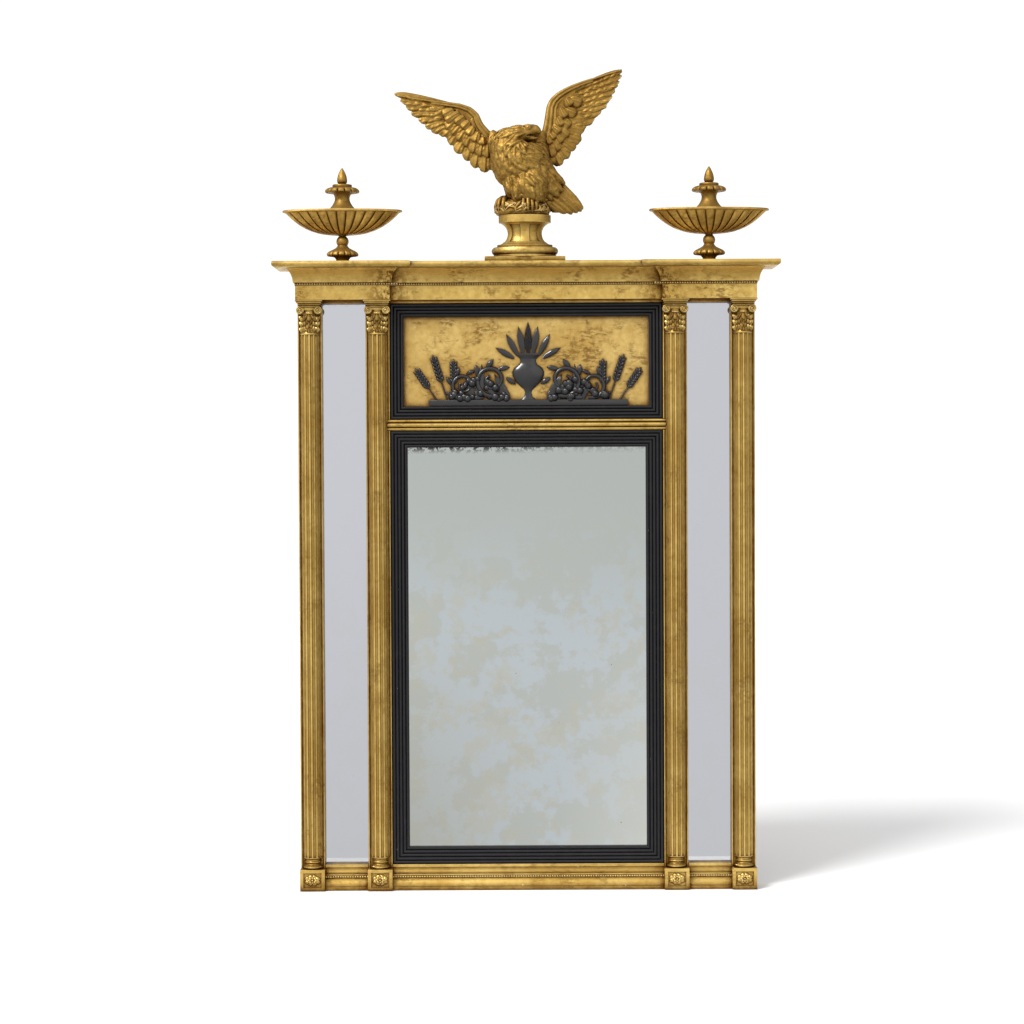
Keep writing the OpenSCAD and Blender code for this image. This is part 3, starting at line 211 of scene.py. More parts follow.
def gilding(name, leaf, deep, dirt_and_shade_reach, dirt_and_shade_share, mottle, metallic, rough, worn=0.5, breaks=0):
    """Water gilding: gold leaf over clay and gesso, laid in small sheets.

    Rubbing leaves soft, pale and darker clouds, and here and there a chip
    shows the white gesso. Hollows and sheltered faces are painted darker:
    partly old waxes and dust settled there, partly painted shade. Convex
    edges are brightened, partly rubbed leaf and partly painted highlight,
    and faces that look down are painted lighter as painted light.
    """
    tints = colours()
    material, tree, shader, place = start(name)
    clouds = step(tree, grain(tree, place, 90), 0.38, 0.66)
    mottling = step(tree, grain(tree, place, 11, 5, 0.62), 0.36, 0.7)
    base = blend(tree, times(tree, clouds, 0.5), leaf, deep)
    base = blend(tree, times(tree, mottling, mottle), base, deep)
    # Darker in the quirks and wherever a moulding shelters the leaf, found by ambient occlusion: partly wax and dust,
    # partly painted shade
    quirk_dirt_and_shade = add(tree, "ShaderNodeAmbientOcclusion", {"Distance": dirt_and_shade_reach * MM}, samples=5).outputs["AO"]
    shelter_dirt_and_shade = add(tree, "ShaderNodeAmbientOcclusion", {"Distance": 3.6 * dirt_and_shade_reach * MM}, samples=4).outputs["AO"]
    smear = step(tree, grain(tree, place, 26, 5, 0.65), 0.32, 0.6, 0.6, 1.15)
    thick = step(tree, quirk_dirt_and_shade, 0.58, 0.96, 1, 0)
    thin = times(tree, step(tree, shelter_dirt_and_shade, 0.5, 0.93, 1.1, 0), smear)
    dirt_and_shade = add(tree, "ShaderNodeMath", {0: thick, 1: thin}, operation="MAXIMUM").outputs[0]
    # Handling has left a few brown patches, drawn out along the lengths by rubbing
    drawn = add(tree, "ShaderNodeMapping", {"Vector": place, "Scale": (0.4, 1, 1)}).outputs[0]
    patches = times(tree, step(tree, grain(tree, place, 60, 6, 0.7), 0.5, 0.6),
                    step(tree, grain(tree, drawn, 6, 4, 0.75), 0.44, 0.54))
    # The patches are kept stronger on sheltered faces, which paints shade into them
    patches = times(tree, patches, step(tree, shelter_dirt_and_shade, 0.55, 0.95, 0.95, worn))
    if breaks:
        # Where the cornice breaks forward the leaf is browned on both sides of the break: partly dust, partly the
        # painted shadow of the bay that stands forward
        across = add(tree, "ShaderNodeMath", {0: add(tree, "ShaderNodeSeparateXYZ", {0: place}).outputs["X"]},
                     operation="ABSOLUTE").outputs[0]
        off = add(tree, "ShaderNodeMath", {0: across, 1: breaks * MM, 2: 0.001}, operation="SUBTRACT").outputs[0]
        off = add(tree, "ShaderNodeMath", {0: off}, operation="ABSOLUTE").outputs[0]
        break_stain_and_shadow = times(tree, step(tree, off, 0.004, 0.07, 1, 0), step(tree, grain(tree, place, 12, 7, 0.8), 0.44, 0.55))
        patches = add(tree, "ShaderNodeMath", {0: patches, 1: break_stain_and_shadow}, operation="MAXIMUM").outputs[0]
        # Faces that look down, as in the cove, are painted lighter and redder: painted light that makes up for the
        # light that misses them
        facing = add(tree, "ShaderNodeNewGeometry").outputs["Normal"]
        under = add(tree, "ShaderNodeSeparateXYZ", {0: facing}).outputs["Z"]
        base = blend(tree, step(tree, under, -0.2, -0.5, 0, 0.7), base, linear("#F0BA58"))
    dirt_and_shade = add(tree, "ShaderNodeMath", {0: dirt_and_shade, 1: patches}, operation="MAXIMUM").outputs[0]
    dirt_and_shade = times(tree, dirt_and_shade, dirt_and_shade_share)
    # The darkening mixes towards the wax colour, which here stands both for wax and dust and for painted shade
    base = blend(tree, dirt_and_shade, base, tints.wax)
    # Edges are brightened, partly leaf rubbed bright, partly a painted highlight on the convex edges
    edge = add(tree, "ShaderNodeAmbientOcclusion", {"Distance": 2.2 * MM}, samples=4, inside=True).outputs["AO"]
    rubbed = times(tree, step(tree, edge, 0.35, 0.8, 0.5, 0), step(tree, dirt_and_shade, 0, 0.6, 1, 0))
    base = blend(tree, rubbed, base, tints.rubbed_and_highlit_leaf)
    # Chips are about 2 mm across, drawn a little larger than real so they show
    chip = step(tree, grain(tree, place, 7, 2, 0.5), 0.78, 0.8)
    base = blend(tree, chip, base, tints.gesso)
    tree.links.new(base, shader.inputs["Base Color"])
    tree.links.new(step(tree, chip, 0, 1, metallic, 0), shader.inputs["Metallic"])
    shader.inputs["Specular IOR Level"].default_value = 0.2
    tree.links.new(step(tree, mottling, 0, 1, rough - 0.06, rough + 0.1), shader.inputs["Roughness"])
    # Brush and rubbing marks in the gesso, about 1.5 mm, drawn coarser than real
    marks = add(tree, "ShaderNodeBump", {
        "Height": grain(tree, place, 3.2, 4, 0.6), "Strength": 0.4, "Distance": 0.5 * MM})
    tree.links.new(marks.outputs[0], shader.inputs["Normal"])
    return material


def ebonised(name, rough=0.3, sheen=0.3):
    """Ebonised wood: black stained limewood, polished with shellac.

    A soft sheen on the reeds, worn to brown in clouds, with a few chips
    down to the gesso.
    """
    tints = colours()
    material, tree, shader, place = start(name)
    rubbed = step(tree, grain(tree, place, 22, 4, 0.6), 0.5, 0.8, 0, 0.35)
    base = blend(tree, rubbed, tints.ebony, linear("#2C2624"))
    chip = step(tree, grain(tree, place, 6, 2, 0.5), 0.79, 0.8)
    base = blend(tree, chip, base, tints.gesso)
    tree.links.new(base, shader.inputs["Base Color"])
    shader.inputs["Specular IOR Level"].default_value = sheen
    tree.links.new(step(tree, grain(tree, place, 16), 0.3, 0.7, rough, rough + 0.16), shader.inputs["Roughness"])
    # Wood grain 0.8 mm wide, drawn along each length by the noise's own streaks
    marks = add(tree, "ShaderNodeBump", {
        "Height": grain(tree, place, 1.6, 3, 0.5), "Strength": 0.15, "Distance": 0.2 * MM})
    tree.links.new(marks.outputs[0], shader.inputs["Normal"])
    return material


def old_mirror(name, silvering, low_z, high_z, foxed):
    """Tin and mercury backed plate glass: a grey mirror, cloudy with age.

    Its layer has crystallised into pale clouds and has gone black in specks
    under the moulding. The lower left is darker and yellower and the lower
    right paler, partly clouding of the layer and partly a painted reflection;
    the top is darker.
    """
    tints = colours()
    material, tree, shader, place = start(name)
    axes = add(tree, "ShaderNodeSeparateXYZ", {0: place})
    tall = high_z - low_z
    # Where the layer has broken up: most of the lower part, patchy, with ragged edges
    broken = step(tree, axes.outputs["Z"], (low_z + 0.86 * tall) * MM, (low_z + 0.6 * tall) * MM)
    patches = times(tree, step(tree, grain(tree, place, 95, 11, 0.7), 0.47, 0.52), broken)
    clouds = times(tree, step(tree, grain(tree, place, 55, 11, 0.72), 0.5, 0.57), broken)
    # Broad shifts: darker at the lower left, paler at the lower right, darker towards the top; the shift from side to
    # side is partly a painted reflection
    low = step(tree, axes.outputs["Z"], low_z * MM, (low_z + 0.6 * tall) * MM, 1, 0)
    top = step(tree, axes.outputs["Z"], (high_z - 420) * MM, high_z * MM)
    left = step(tree, axes.outputs["X"], 0.02, -0.26)
    right = step(tree, axes.outputs["X"], 0.05, 0.26)
    base = blend(tree, times(tree, patches, 0.8 * foxed), silvering, linear("#BCC4CA"))
    base = blend(tree, times(tree, clouds, 0.55 * foxed), base, linear("#BBB9AA"))
    base = blend(tree, times(tree, times(tree, low, left), 0.8 * foxed), base, linear("#A6A69B"))
    base = blend(tree, times(tree, times(tree, low, right), 0.8 * foxed), base, linear("#D0D2CC"))
    base = blend(tree, times(tree, top, 0.6 * foxed), base, linear("#A9AFAB"))
    edge = step(tree, axes.outputs["Z"], (high_z - 14) * MM, (high_z - 1) * MM)
    west = step(tree, axes.outputs["X"], 0.09, -0.06)
    # Specks 1 to 3 mm across, as on the plate, thickest along the top edge
    specks = step(tree, grain(tree, place, 8, 5, 0.7), 0.48, 0.53)
    specks = times(tree, specks, times(tree, edge, step(tree, west, 0, 1, 0.25, 1)))
    stray = step(tree, grain(tree, place, 10, 2, 0.5), 0.775, 0.8)
    gone = add(tree, "ShaderNodeMath", {0: specks, 1: stray}, operation="MAXIMUM").outputs[0]
    gone = times(tree, gone, foxed)
    base = blend(tree, gone, base, tints.foxing)
    tree.links.new(base, shader.inputs["Base Color"])
    tree.links.new(step(tree, gone, 0, 1, 1, 0.1), shader.inputs["Metallic"])
    blur = step(tree, clouds, 0, 1, 0.02, 0.02 + 0.05 * foxed)
    tree.links.new(blur, shader.inputs["Roughness"])
    return material


def old_pine(name):
    """Bare pine: planed carcase wood, darkened and dusty behind the mirror.

    The grain runs up the boards in bands about 4 mm wide.
    """
    tints = colours()
    material, tree, shader, place = start(name)
    drawn = add(tree, "ShaderNodeMapping", {"Vector": place, "Scale": (1, 1, 0.07)}).outputs[0]
    bands = step(tree, grain(tree, drawn, 4, 4, 0.6), 0.35, 0.68)
    stains = step(tree, grain(tree, place, 150, 4, 0.6), 0.35, 0.7)
    base = blend(tree, times(tree, bands, 0.55), tints.pine, linear("#7B5730"))
    base = blend(tree, times(tree, stains, 0.5), base, linear("#6B4D2E"))
    tree.links.new(base, shader.inputs["Base Color"])
    shader.inputs["Roughness"].default_value = 0.8
    marks = add(tree, "ShaderNodeBump", {"Height": bands, "Strength": 0.3, "Distance": 0.3 * MM})
    tree.links.new(marks.outputs[0], shader.inputs["Normal"])
    return material


def wrought_iron(name):
    """Wrought iron: hammered, blackened, with a bloom of rust."""
    tints = colours()
    material, tree, shader, place = start(name)
    rust = step(tree, grain(tree, place, 9, 5, 0.65), 0.5, 0.7)
    tree.links.new(blend(tree, rust, tints.iron, linear("#5E3A22")), shader.inputs["Base Color"])
    tree.links.new(step(tree, rust, 0, 1, 0.85, 0.1), shader.inputs["Metallic"])
    shader.inputs["Roughness"].default_value = 0.55
    marks = add(tree, "ShaderNodeBump", {
        "Height": grain(tree, place, 5, 3, 0.5), "Strength": 0.4, "Distance": 0.4 * MM})
    tree.links.new(marks.outputs[0], shader.inputs["Normal"])
    return material


FINISHES = {}


def make_finishes():
    """Makes each finish once."""
    tints = colours()
    plate, side = span("main_plate"), span("left_plate")
    FINISHES.update(
        gilding=gilding("water_gilding", tints.leaf, tints.leaf_deep, 9, 0.9, 0.45, 0.88, 0.4),
        old_gilding=gilding("old_water_gilding", tints.old_leaf, tints.old_leaf_deep, 4.5, 0.74, 0.5, 0.8, 0.5),
        tablet=gilding("tablet_gilding", tints.tablet_leaf, tints.leaf_deep, 12, 0.85, 0.4, 0.5, 0.55, worn=0.8),
        cornice=gilding("cornice_gilding", tints.leaf, tints.leaf_deep, 9, 0.95, 0.45, 0.88, 0.4, 0.7,
                        span("entablature_centre")[1]),
        bowl=gilding("finial_bowl_gilding", linear("#CFA655"), tints.old_leaf_deep, 4.5, 0.9, 0.55, 0.85, 0.42),
        capital=gilding("capital_gilding", tints.leaf, tints.leaf_deep, 4, 0.75, 0.5, 0.85, 0.42),
        polished=ebonised("polished_ebonised_limewood", 0.16, 0.6),
        ebonised=ebonised("ebonised_limewood"),
        plate=old_mirror("old_mirror_glass", tints.silvering, plate[4], plate[5] - 6, 1.0),
        side_plate=old_mirror("side_mirror_glass", tints.silvering_side, side[4], side[5], 0.15),
        pine=old_pine("aged_pine"),
        iron=wrought_iron("wrought_iron"),
        # The bead seats' finish: dark, partly wax and partly painted shade
        waxed=gilding("waxed_gilding", tints.old_leaf_deep, tints.wax, 4, 1.0, 0.7, 0.3, 0.6),
        # The beads' leaf is brighter: partly burnished, partly a painted highlight so that they show against their
        # seat
        burnished=gilding("burnished_beads", tints.rubbed_and_highlit_leaf, tints.leaf, 1.2, 0.7, 0.3, 0.7, 0.4),
    )


# Hand work


def rest():
    """Leaves edit mode and lets go of everything."""
    if bpy.context.object and bpy.context.object.mode == "EDIT":
        bpy.ops.object.mode_set(mode="OBJECT")
    bpy.ops.object.select_all(action="DESELECT")


def hold(*things):
    """Selects these objects alone, the first one active."""
    rest()
    for thing in things:
        thing.select_set(True)
    bpy.context.view_layer.objects.active = things[0]
    return things[0]


def edit(thing):
    """Edit mode on one object, with nothing selected."""
    hold(thing)
    bpy.ops.object.mode_set(mode="EDIT")
    bpy.ops.mesh.select_all(action="DESELECT")


def choose(thing, test, faces=False):
    """In edit mode, selects the points, or the faces, that pass a test."""
    bpy.ops.mesh.select_all(action="DESELECT")
    bpy.ops.mesh.select_mode(type="FACE" if faces else "VERT")
    mesh = bmesh.from_edit_mesh(thing.data)
    parts = mesh.faces if faces else mesh.verts
    parts.ensure_lookup_table()
    for part in parts:
        if test(part):
            part.select_set(True)
    mesh.select_flush_mode()
    bmesh.update_edit_mesh(thing.data)


def settle(thing):
    """Puts an object's place, turn and size into its mesh."""
    hold(thing)
    bpy.ops.object.transform_apply(location=True, rotation=True, scale=True)
    return thing


def close_up(thing, smooth=40):
    """Merges doubles, turns the faces outwards and smooths the shallow edges."""
    edit(thing)
    bpy.ops.mesh.select_all(action="SELECT")
    bpy.ops.mesh.remove_doubles(threshold=0.00001)
    bpy.ops.mesh.normals_make_consistent(inside=False)
    rest()
    hold(thing)
    bpy.ops.object.shade_smooth_by_angle(angle=math.radians(smooth))
    return thing


def modify(thing, kind, **settings):
    """Adds a modifier and applies it."""
    hold(thing)
    modifier = thing.modifiers.new(kind.lower(), kind)
    for name, value in settings.items():
        setattr(modifier, name, value)
    bpy.ops.object.modifier_apply(modifier=modifier.name)
    return thing


def join(things):
    """Joins objects into the first."""
    things = list(things)
    hold(*things)
    if len(things) > 1:
        bpy.ops.object.join()
    return settle(bpy.context.object)


def copies(master, places, keep=False):
    """Copies of one modelled piece at the matrices given, joined; each had its own mesh."""
    made = []
    for place in places:
        copy = master.copy()
        copy.data = master.data.copy()
        bpy.context.scene.collection.objects.link(copy)
        copy.matrix_world = place @ master.matrix_world
        made.append(copy)
    if not keep:
        bpy.data.objects.remove(master)
    return join(made)


def hand_over(thing, name, finish, slot, *nodes):
    """Names a finished piece, gives it its finish and sets it on the frame."""
    settle(thing)
    thing.name = name
    thing.data.name = name
    thing.data.materials.clear()
    thing.data.materials.append(FINISHES[finish])
    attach(thing, "root")
    if nodes:
        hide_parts(*nodes)
    return thing


def turned(stations, x=0, depth=0, z=0, sides=48):
    """A turned form: a disc drawn up through (radius, height) stations."""
    rest()
    radius, height = stations[0]
    centre = Vector((x, -depth, z)) * MM
    bpy.ops.mesh.primitive_circle_add(
        vertices=sides, radius=radius * MM, fill_type="NGON", location=centre + Vector((0, 0, height * MM))
    )
    thing = bpy.context.object
    bpy.ops.object.mode_set(mode="EDIT")
    bpy.ops.mesh.select_all(action="SELECT")
    for (r0, h0), (r1, h1) in zip(stations, stations[1:]):
        bpy.ops.mesh.extrude_region_move(TRANSFORM_OT_translate={"value": (0, 0, (h1 - h0) * MM)})
        bpy.ops.transform.resize(
            value=(r1 / r0, r1 / r0, 1), center_override=centre + Vector((0, 0, h1 * MM))
        )
    return close_up(settle(thing))


def lofted(rings, sides=24):
    """A carved form: circles set at their stations, made oval and bridged.

    Each ring is a matrix that turns the unit circle into its oval.
    """
    rest()
    thing = None
    for matrix in rings:
        if thing is None:
            bpy.ops.mesh.primitive_circle_add(vertices=sides, radius=1)
            thing = bpy.context.object
            bpy.ops.object.mode_set(mode="EDIT")
        else:
            bpy.ops.mesh.primitive_circle_add(vertices=sides, radius=1)
        mesh = bmesh.from_edit_mesh(thing.data)
        mesh.verts.ensure_lookup_table()
        ring = mesh.verts[-sides:]
        bmesh.ops.transform(mesh, matrix=matrix, verts=ring)
        bmesh.update_edit_mesh(thing.data)
    last = len(rings) - 1
    for k in range(last):
        band = range(k * sides, (k + 2) * sides)
        choose(thing, lambda vert: vert.index in band)
        bpy.ops.mesh.bridge_edge_loops()
    for k in (0, last):
        band = range(k * sides, (k + 1) * sides)
        choose(thing, lambda vert: vert.index in band)
        bpy.ops.mesh.edge_face_add()
    return close_up(settle(thing))


def oval(x, depth, z, direction, across, deep):
    """The matrix of an oval ring square to a direction in the plane of the front."""
    turn = math.radians(direction)
    normal = Vector((math.cos(turn), 0, math.sin(turn)))
    side = Vector((-math.sin(turn), 0, math.cos(turn)))
    matrix = Matrix((side * across * MM, Vector((0, -deep * MM, 0)), normal)).transposed().to_4x4()
    matrix.translation = Vector((x, -depth, z)) * MM
    return matrix


def lying(root, tip, facing, width, lift):
    """The matrix that lays a unit blade from root to tip with its face towards a direction."""
    root, tip = Vector(root), Vector(tip)
    along = tip - root
    across = Vector(facing).cross(along).normalized()
    up = along.cross(across).normalized()
    matrix = Matrix((along, across * width, up * lift)).transposed().to_4x4()
    matrix.translation = root
    return matrix


def blade(outline, curl, crown, rib, across=6, thick=0.35, strand=0):
    """A leaf or feather one unit long and one wide, crowned, with a midrib.

    The outline gives (place along, width share); curl lifts or drops each place,
    and strand is the depth of the two gouge cuts that run along a small feather.
    """
    rest()
    count = len(outline) - 1
    bpy.ops.mesh.primitive_grid_add(x_subdivisions=count, y_subdivisions=across, size=1, location=(0.5, 0, 0))
    thing = settle(bpy.context.object)
    edit(thing)
    for k, (place, share) in enumerate(outline):
        at = k / count
        choose(thing, lambda vert: abs(vert.co.x - at) < 0.2 / count and abs(vert.co.z) < 9)
        bpy.ops.transform.resize(value=(1, max(share, 0.02), 1), center_override=(at, 0, 0))
    mesh = bmesh.from_edit_mesh(thing.data)
    for vert in mesh.verts:
        k = round(vert.co.x * count)
        place, share = outline[k]
        edge = abs(vert.co.y) * 2 / max(share, 0.02)
        vert.co.x = place
        vert.co.z = curl(place) + crown * share * (1 - edge * edge) + (rib if edge < 0.01 else 0)
        vert.co.z += strand * share * math.cos(4 * math.pi * edge)
    bmesh.update_edit_mesh(thing.data)
    rest()
    modify(thing, "SOLIDIFY", thickness=thick, offset=-1)
    return close_up(thing, 50)


def stem(points, thick=1.0, closed=False):
    """A rounded stem through (x, depth, z, share of the thickness) points."""
    rest()
    bpy.ops.curve.primitive_nurbs_path_add()
    thing = bpy.context.object
    curve = thing.data
    curve.splines.clear()
    path = curve.splines.new("POLY")
    path.points.add(len(points) - 1)
    for point, (x, depth, z, share) in zip(path.points, points):
        point.co = (x * MM, -depth * MM, z * MM, 1)
        point.radius = share
    path.use_cyclic_u = closed
    curve.dimensions = "3D"
    curve.bevel_depth = thick * MM
    curve.bevel_resolution = 2
    curve.use_fill_caps = True
    bpy.ops.object.convert(target="MESH")
    thing = bpy.context.object
    thing.location = (0, 0, 0)
    return close_up(settle(thing), 60)


def board(x0, x1, d0, d1, z0, z1, bevel=0.4):
    """A squared piece with its edges broken."""
    rest()
    centre = Vector(((x0 + x1) / 2, -(d0 + d1) / 2, (z0 + z1) / 2)) * MM
    bpy.ops.mesh.primitive_cube_add(size=1, location=centre)
    thing = bpy.context.object
    thing.scale = Vector((x1 - x0, d1 - d0, z1 - z0)) * MM
    settle(thing)
    modify(thing, "BEVEL", width=bevel * MM, segments=2, limit_method="ANGLE")
    return close_up(thing)


def ball(x, depth, z, radius, segments=12, rings=8):
    rest()
    bpy.ops.mesh.primitive_uv_sphere_add(
        segments=segments, ring_count=rings, radius=radius * MM, location=Vector((x, -depth, z)) * MM
    )
    return settle(bpy.context.object)


def cut_behind(thing, depth):
    """Cuts away what lies nearer the wall than a depth, and closes the cut."""
    edit(thing)
    bpy.ops.mesh.select_all(action="SELECT")
    bpy.ops.mesh.bisect(plane_co=(0, -depth * MM, 0), plane_no=(0, 1, 0), use_fill=True, clear_outer=True)
    rest()
    return close_up(thing)


# Pieces


LEAF = [(0, 0.45), (0.12, 0.62), (0.26, 0.84), (0.4, 0.97), (0.54, 1.0), (0.68, 0.9), (0.8, 0.7), (0.9, 0.42),
        (0.97, 0.18), (1, 0.02)]
PLUME = [(0, 0.4), (0.3, 0.85), (0.6, 1), (0.82, 0.7), (1, 0.05)]
QUILL = [(0, 0.42), (0.15, 0.6), (0.35, 0.82), (0.55, 0.97), (0.72, 1), (0.84, 0.92), (0.92, 0.72), (0.975, 0.42),
         (1, 0.1)]


class PIER_OT_stage(bpy.types.Operator):
    """Sets the camera, the soft lights, the pale floor and the white studio."""

    bl_idname = "pier.stage"
    bl_label = "Studio and Camera"

    def execute(self, context):
        camera = bpy.data.cameras.new("camera")
        camera.sensor_width = 36
        camera.lens = 83.3
        camera.clip_end = 200
        eye = bpy.data.objects.new("camera", camera)
        context.scene.collection.objects.link(eye)
        stand, target = Vector((-0.031, -4.948, 0.9)), Vector((-0.031, -0.048, 0.782))
        look = (target - stand).to_track_quat("-Z", "Y").to_matrix().to_4x4()
        eye.matrix_world = Matrix.Translation(stand) @ look @ Matrix.Rotation(math.radians(-0.27), 4, "Z")
        context.scene.camera = eye
        lamps = (
            ("key", "SUN", (-2.6, -2.9, 3.4), 2.7, 20),
            ("fill", "SUN", (2.6, -3.4, 1.2), 0.35, 60),
        )
        for name, kind, spot, strength, width in lamps:
            lamp = bpy.data.lights.new(name, kind)
            lamp.energy = strength
            lamp.angle = math.radians(width)
            holder = bpy.data.objects.new(name, lamp)
            context.scene.collection.objects.link(holder)
            turn = (-Vector(spot)).to_track_quat("-Z", "Y").to_matrix().to_4x4()
            holder.matrix_world = Matrix.Translation(Vector(spot)) @ turn
        rest()
        bpy.ops.mesh.primitive_plane_add(size=1, location=(0, 14.6, -0.0008))
        floor = context.object
        floor.scale = (60, 30, 1)
        settle(floor)
        floor.name = "floor"
        material, tree, shader, place = start("pale_floor")
        shader.inputs["Base Color"].default_value = colours().floor
        shader.inputs["Roughness"].default_value = 0.9
        shader.inputs["Specular IOR Level"].default_value = 0.1
        floor.data.materials.append(material)
        world = context.scene.world or bpy.data.worlds.new("studio")
        context.scene.world = world
        world.use_nodes = True
        tree = world.node_tree
        tree.nodes.clear()
        # The backdrop is white to the eye, and softer as a light
        white = add(tree, "ShaderNodeBackground", {"Color": (1, 1, 1, 1), "Strength": 1.08})
        ray = add(tree, "ShaderNodeTexCoord").outputs["Generated"]
        toward = add(tree, "ShaderNodeVectorMath", {0: ray, 1: (-0.35, -0.76, 0.54)}, operation="DOT_PRODUCT")
        height = step(tree, toward.outputs["Value"], -0.3, 1, 0.26, 1.24)
        soft = add(tree, "ShaderNodeBackground", {"Color": (1, 1, 1, 1), "Strength": height})
        seen = add(tree, "ShaderNodeLightPath").outputs["Is Camera Ray"]
        both = add(tree, "ShaderNodeMixShader", {0: seen, 1: soft.outputs[0], 2: white.outputs[0]})
        add(tree, "ShaderNodeOutputWorld", {"Surface": both.outputs[0]})
        context.scene.view_settings.view_transform = "Standard"
        return {"FINISHED"}


class PIER_OT_finishes(bpy.types.Operator):
    """Gives the frame's own pieces their gilding, black stain, mirror, pine and iron."""

    bl_idname = "pier.finishes"
    bl_label = "Finishes of the Frame"

    def execute(self, context):
        make_finishes()
        for name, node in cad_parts.items():
            finish = "gilding"
            if name.endswith(("stile", "backboard", "rail", "pegs", "blocks")):
                finish = "pine"
            elif "moulding_rails" in name or "moulding_stiles" in name or name == "tablet_relief":
                finish = "ebonised"
            elif name == "main_plate":
                finish = "plate"
            elif name in ("left_plate", "right_plate"):
                finish = "side_plate"
            elif name.startswith("hanging"):
                finish = "iron"
            elif name == "tablet_panel":
                finish = "tablet"
            elif name.startswith("entablature"):
                finish = "cornice"
            elif "urn" in name or name == "bead_strings" or (name.startswith("eagle") and name != "eagle_plinth"):
                finish = "old_gilding"
            node.data.materials.clear()
            node.data.materials.append(FINISHES[finish])
        return {"FINISHED"}


class PIER_OT_beads(bpy.types.Operator):
    """Strings the carved beads along the frieze and the base."""

    bl_idname = "pier.beads"
    bl_label = "Bead Strings"

    def execute(self, context):
        pitch, size = sizes().bead_pitch / MM, sizes().bead_size / MM
        rods = span("bead_strings")
        side, centre = span("entablature_right"), span("entablature_centre")
        x0, x1 = side[0] + 2, rods[1] - size / 2 + 0.6
        bay = rods[3] - size / 2 + 0.6
        inner = bay - (side[3] - centre[3])
        z = rods[5] - size / 2 - 0.3
        runs = [((-x1, bay, z), (-x0, bay, z)), ((x0, bay, z), (x1, bay, z)),
                ((-x0, inner, z), (x0, inner, z))]
        for s in (-1, 1):
            runs.append(((s * x1, bay - pitch, z), (s * x1, size / 2 + 0.1, z)))
        for name in ("left", "centre", "right"):
            box = span(f"base_moulding_{name}")
            runs.append(((box[0] + 1, 51.8, 26.6), (box[1] - 1, 51.8, 26.6)))
        beads, seats = [], []
        seat = 3.5
        for first, last in runs:
            first, last = Vector((first[0], -first[1], first[2])), Vector((last[0], -last[1], last[2]))
            count = int((last - first).length / pitch) + 1
            bead = ball(first.x, -first.y, first.z, size / 2, 8, 5)
            gap = (last - first) / max(count - 1, 1) * MM
            modify(bead, "ARRAY", count=count, use_relative_offset=False, use_constant_offset=True,
                   constant_offset_displace=gap)
            beads.append(bead)
            # The seat behind the beads: a dark sheet, partly wax and partly painted shade between the beads
            across = abs(last.y - first.y) > 1
            low = Vector((min(first.x, last.x), min(-first.y, -last.y)))
            high = Vector((max(first.x, last.x), max(-first.y, -last.y)))
            if across:
                side_x = first.x + math.copysign(1.1 - 1.3, first.x)
                seats.append(board(side_x - 0.9, side_x + 0.2, low.y, high.y, first.z - seat, first.z + seat, 0.05))
            else:
                seats.append(board(low.x, high.x, low.y - 2.2, low.y - 1.1, first.z - seat, first.z + seat, 0.05))
        strings = join(beads)
        hold(strings)
        bpy.ops.object.shade_smooth()
        hand_over(strings, "carved_bead_strings", "burnished", "gilding", "bead_strings")
        hand_over(join(seats), "bead_seats_wax_and_shade", "waxed", "dark_gilding", "bead_strings")
        return {"FINISHED"}


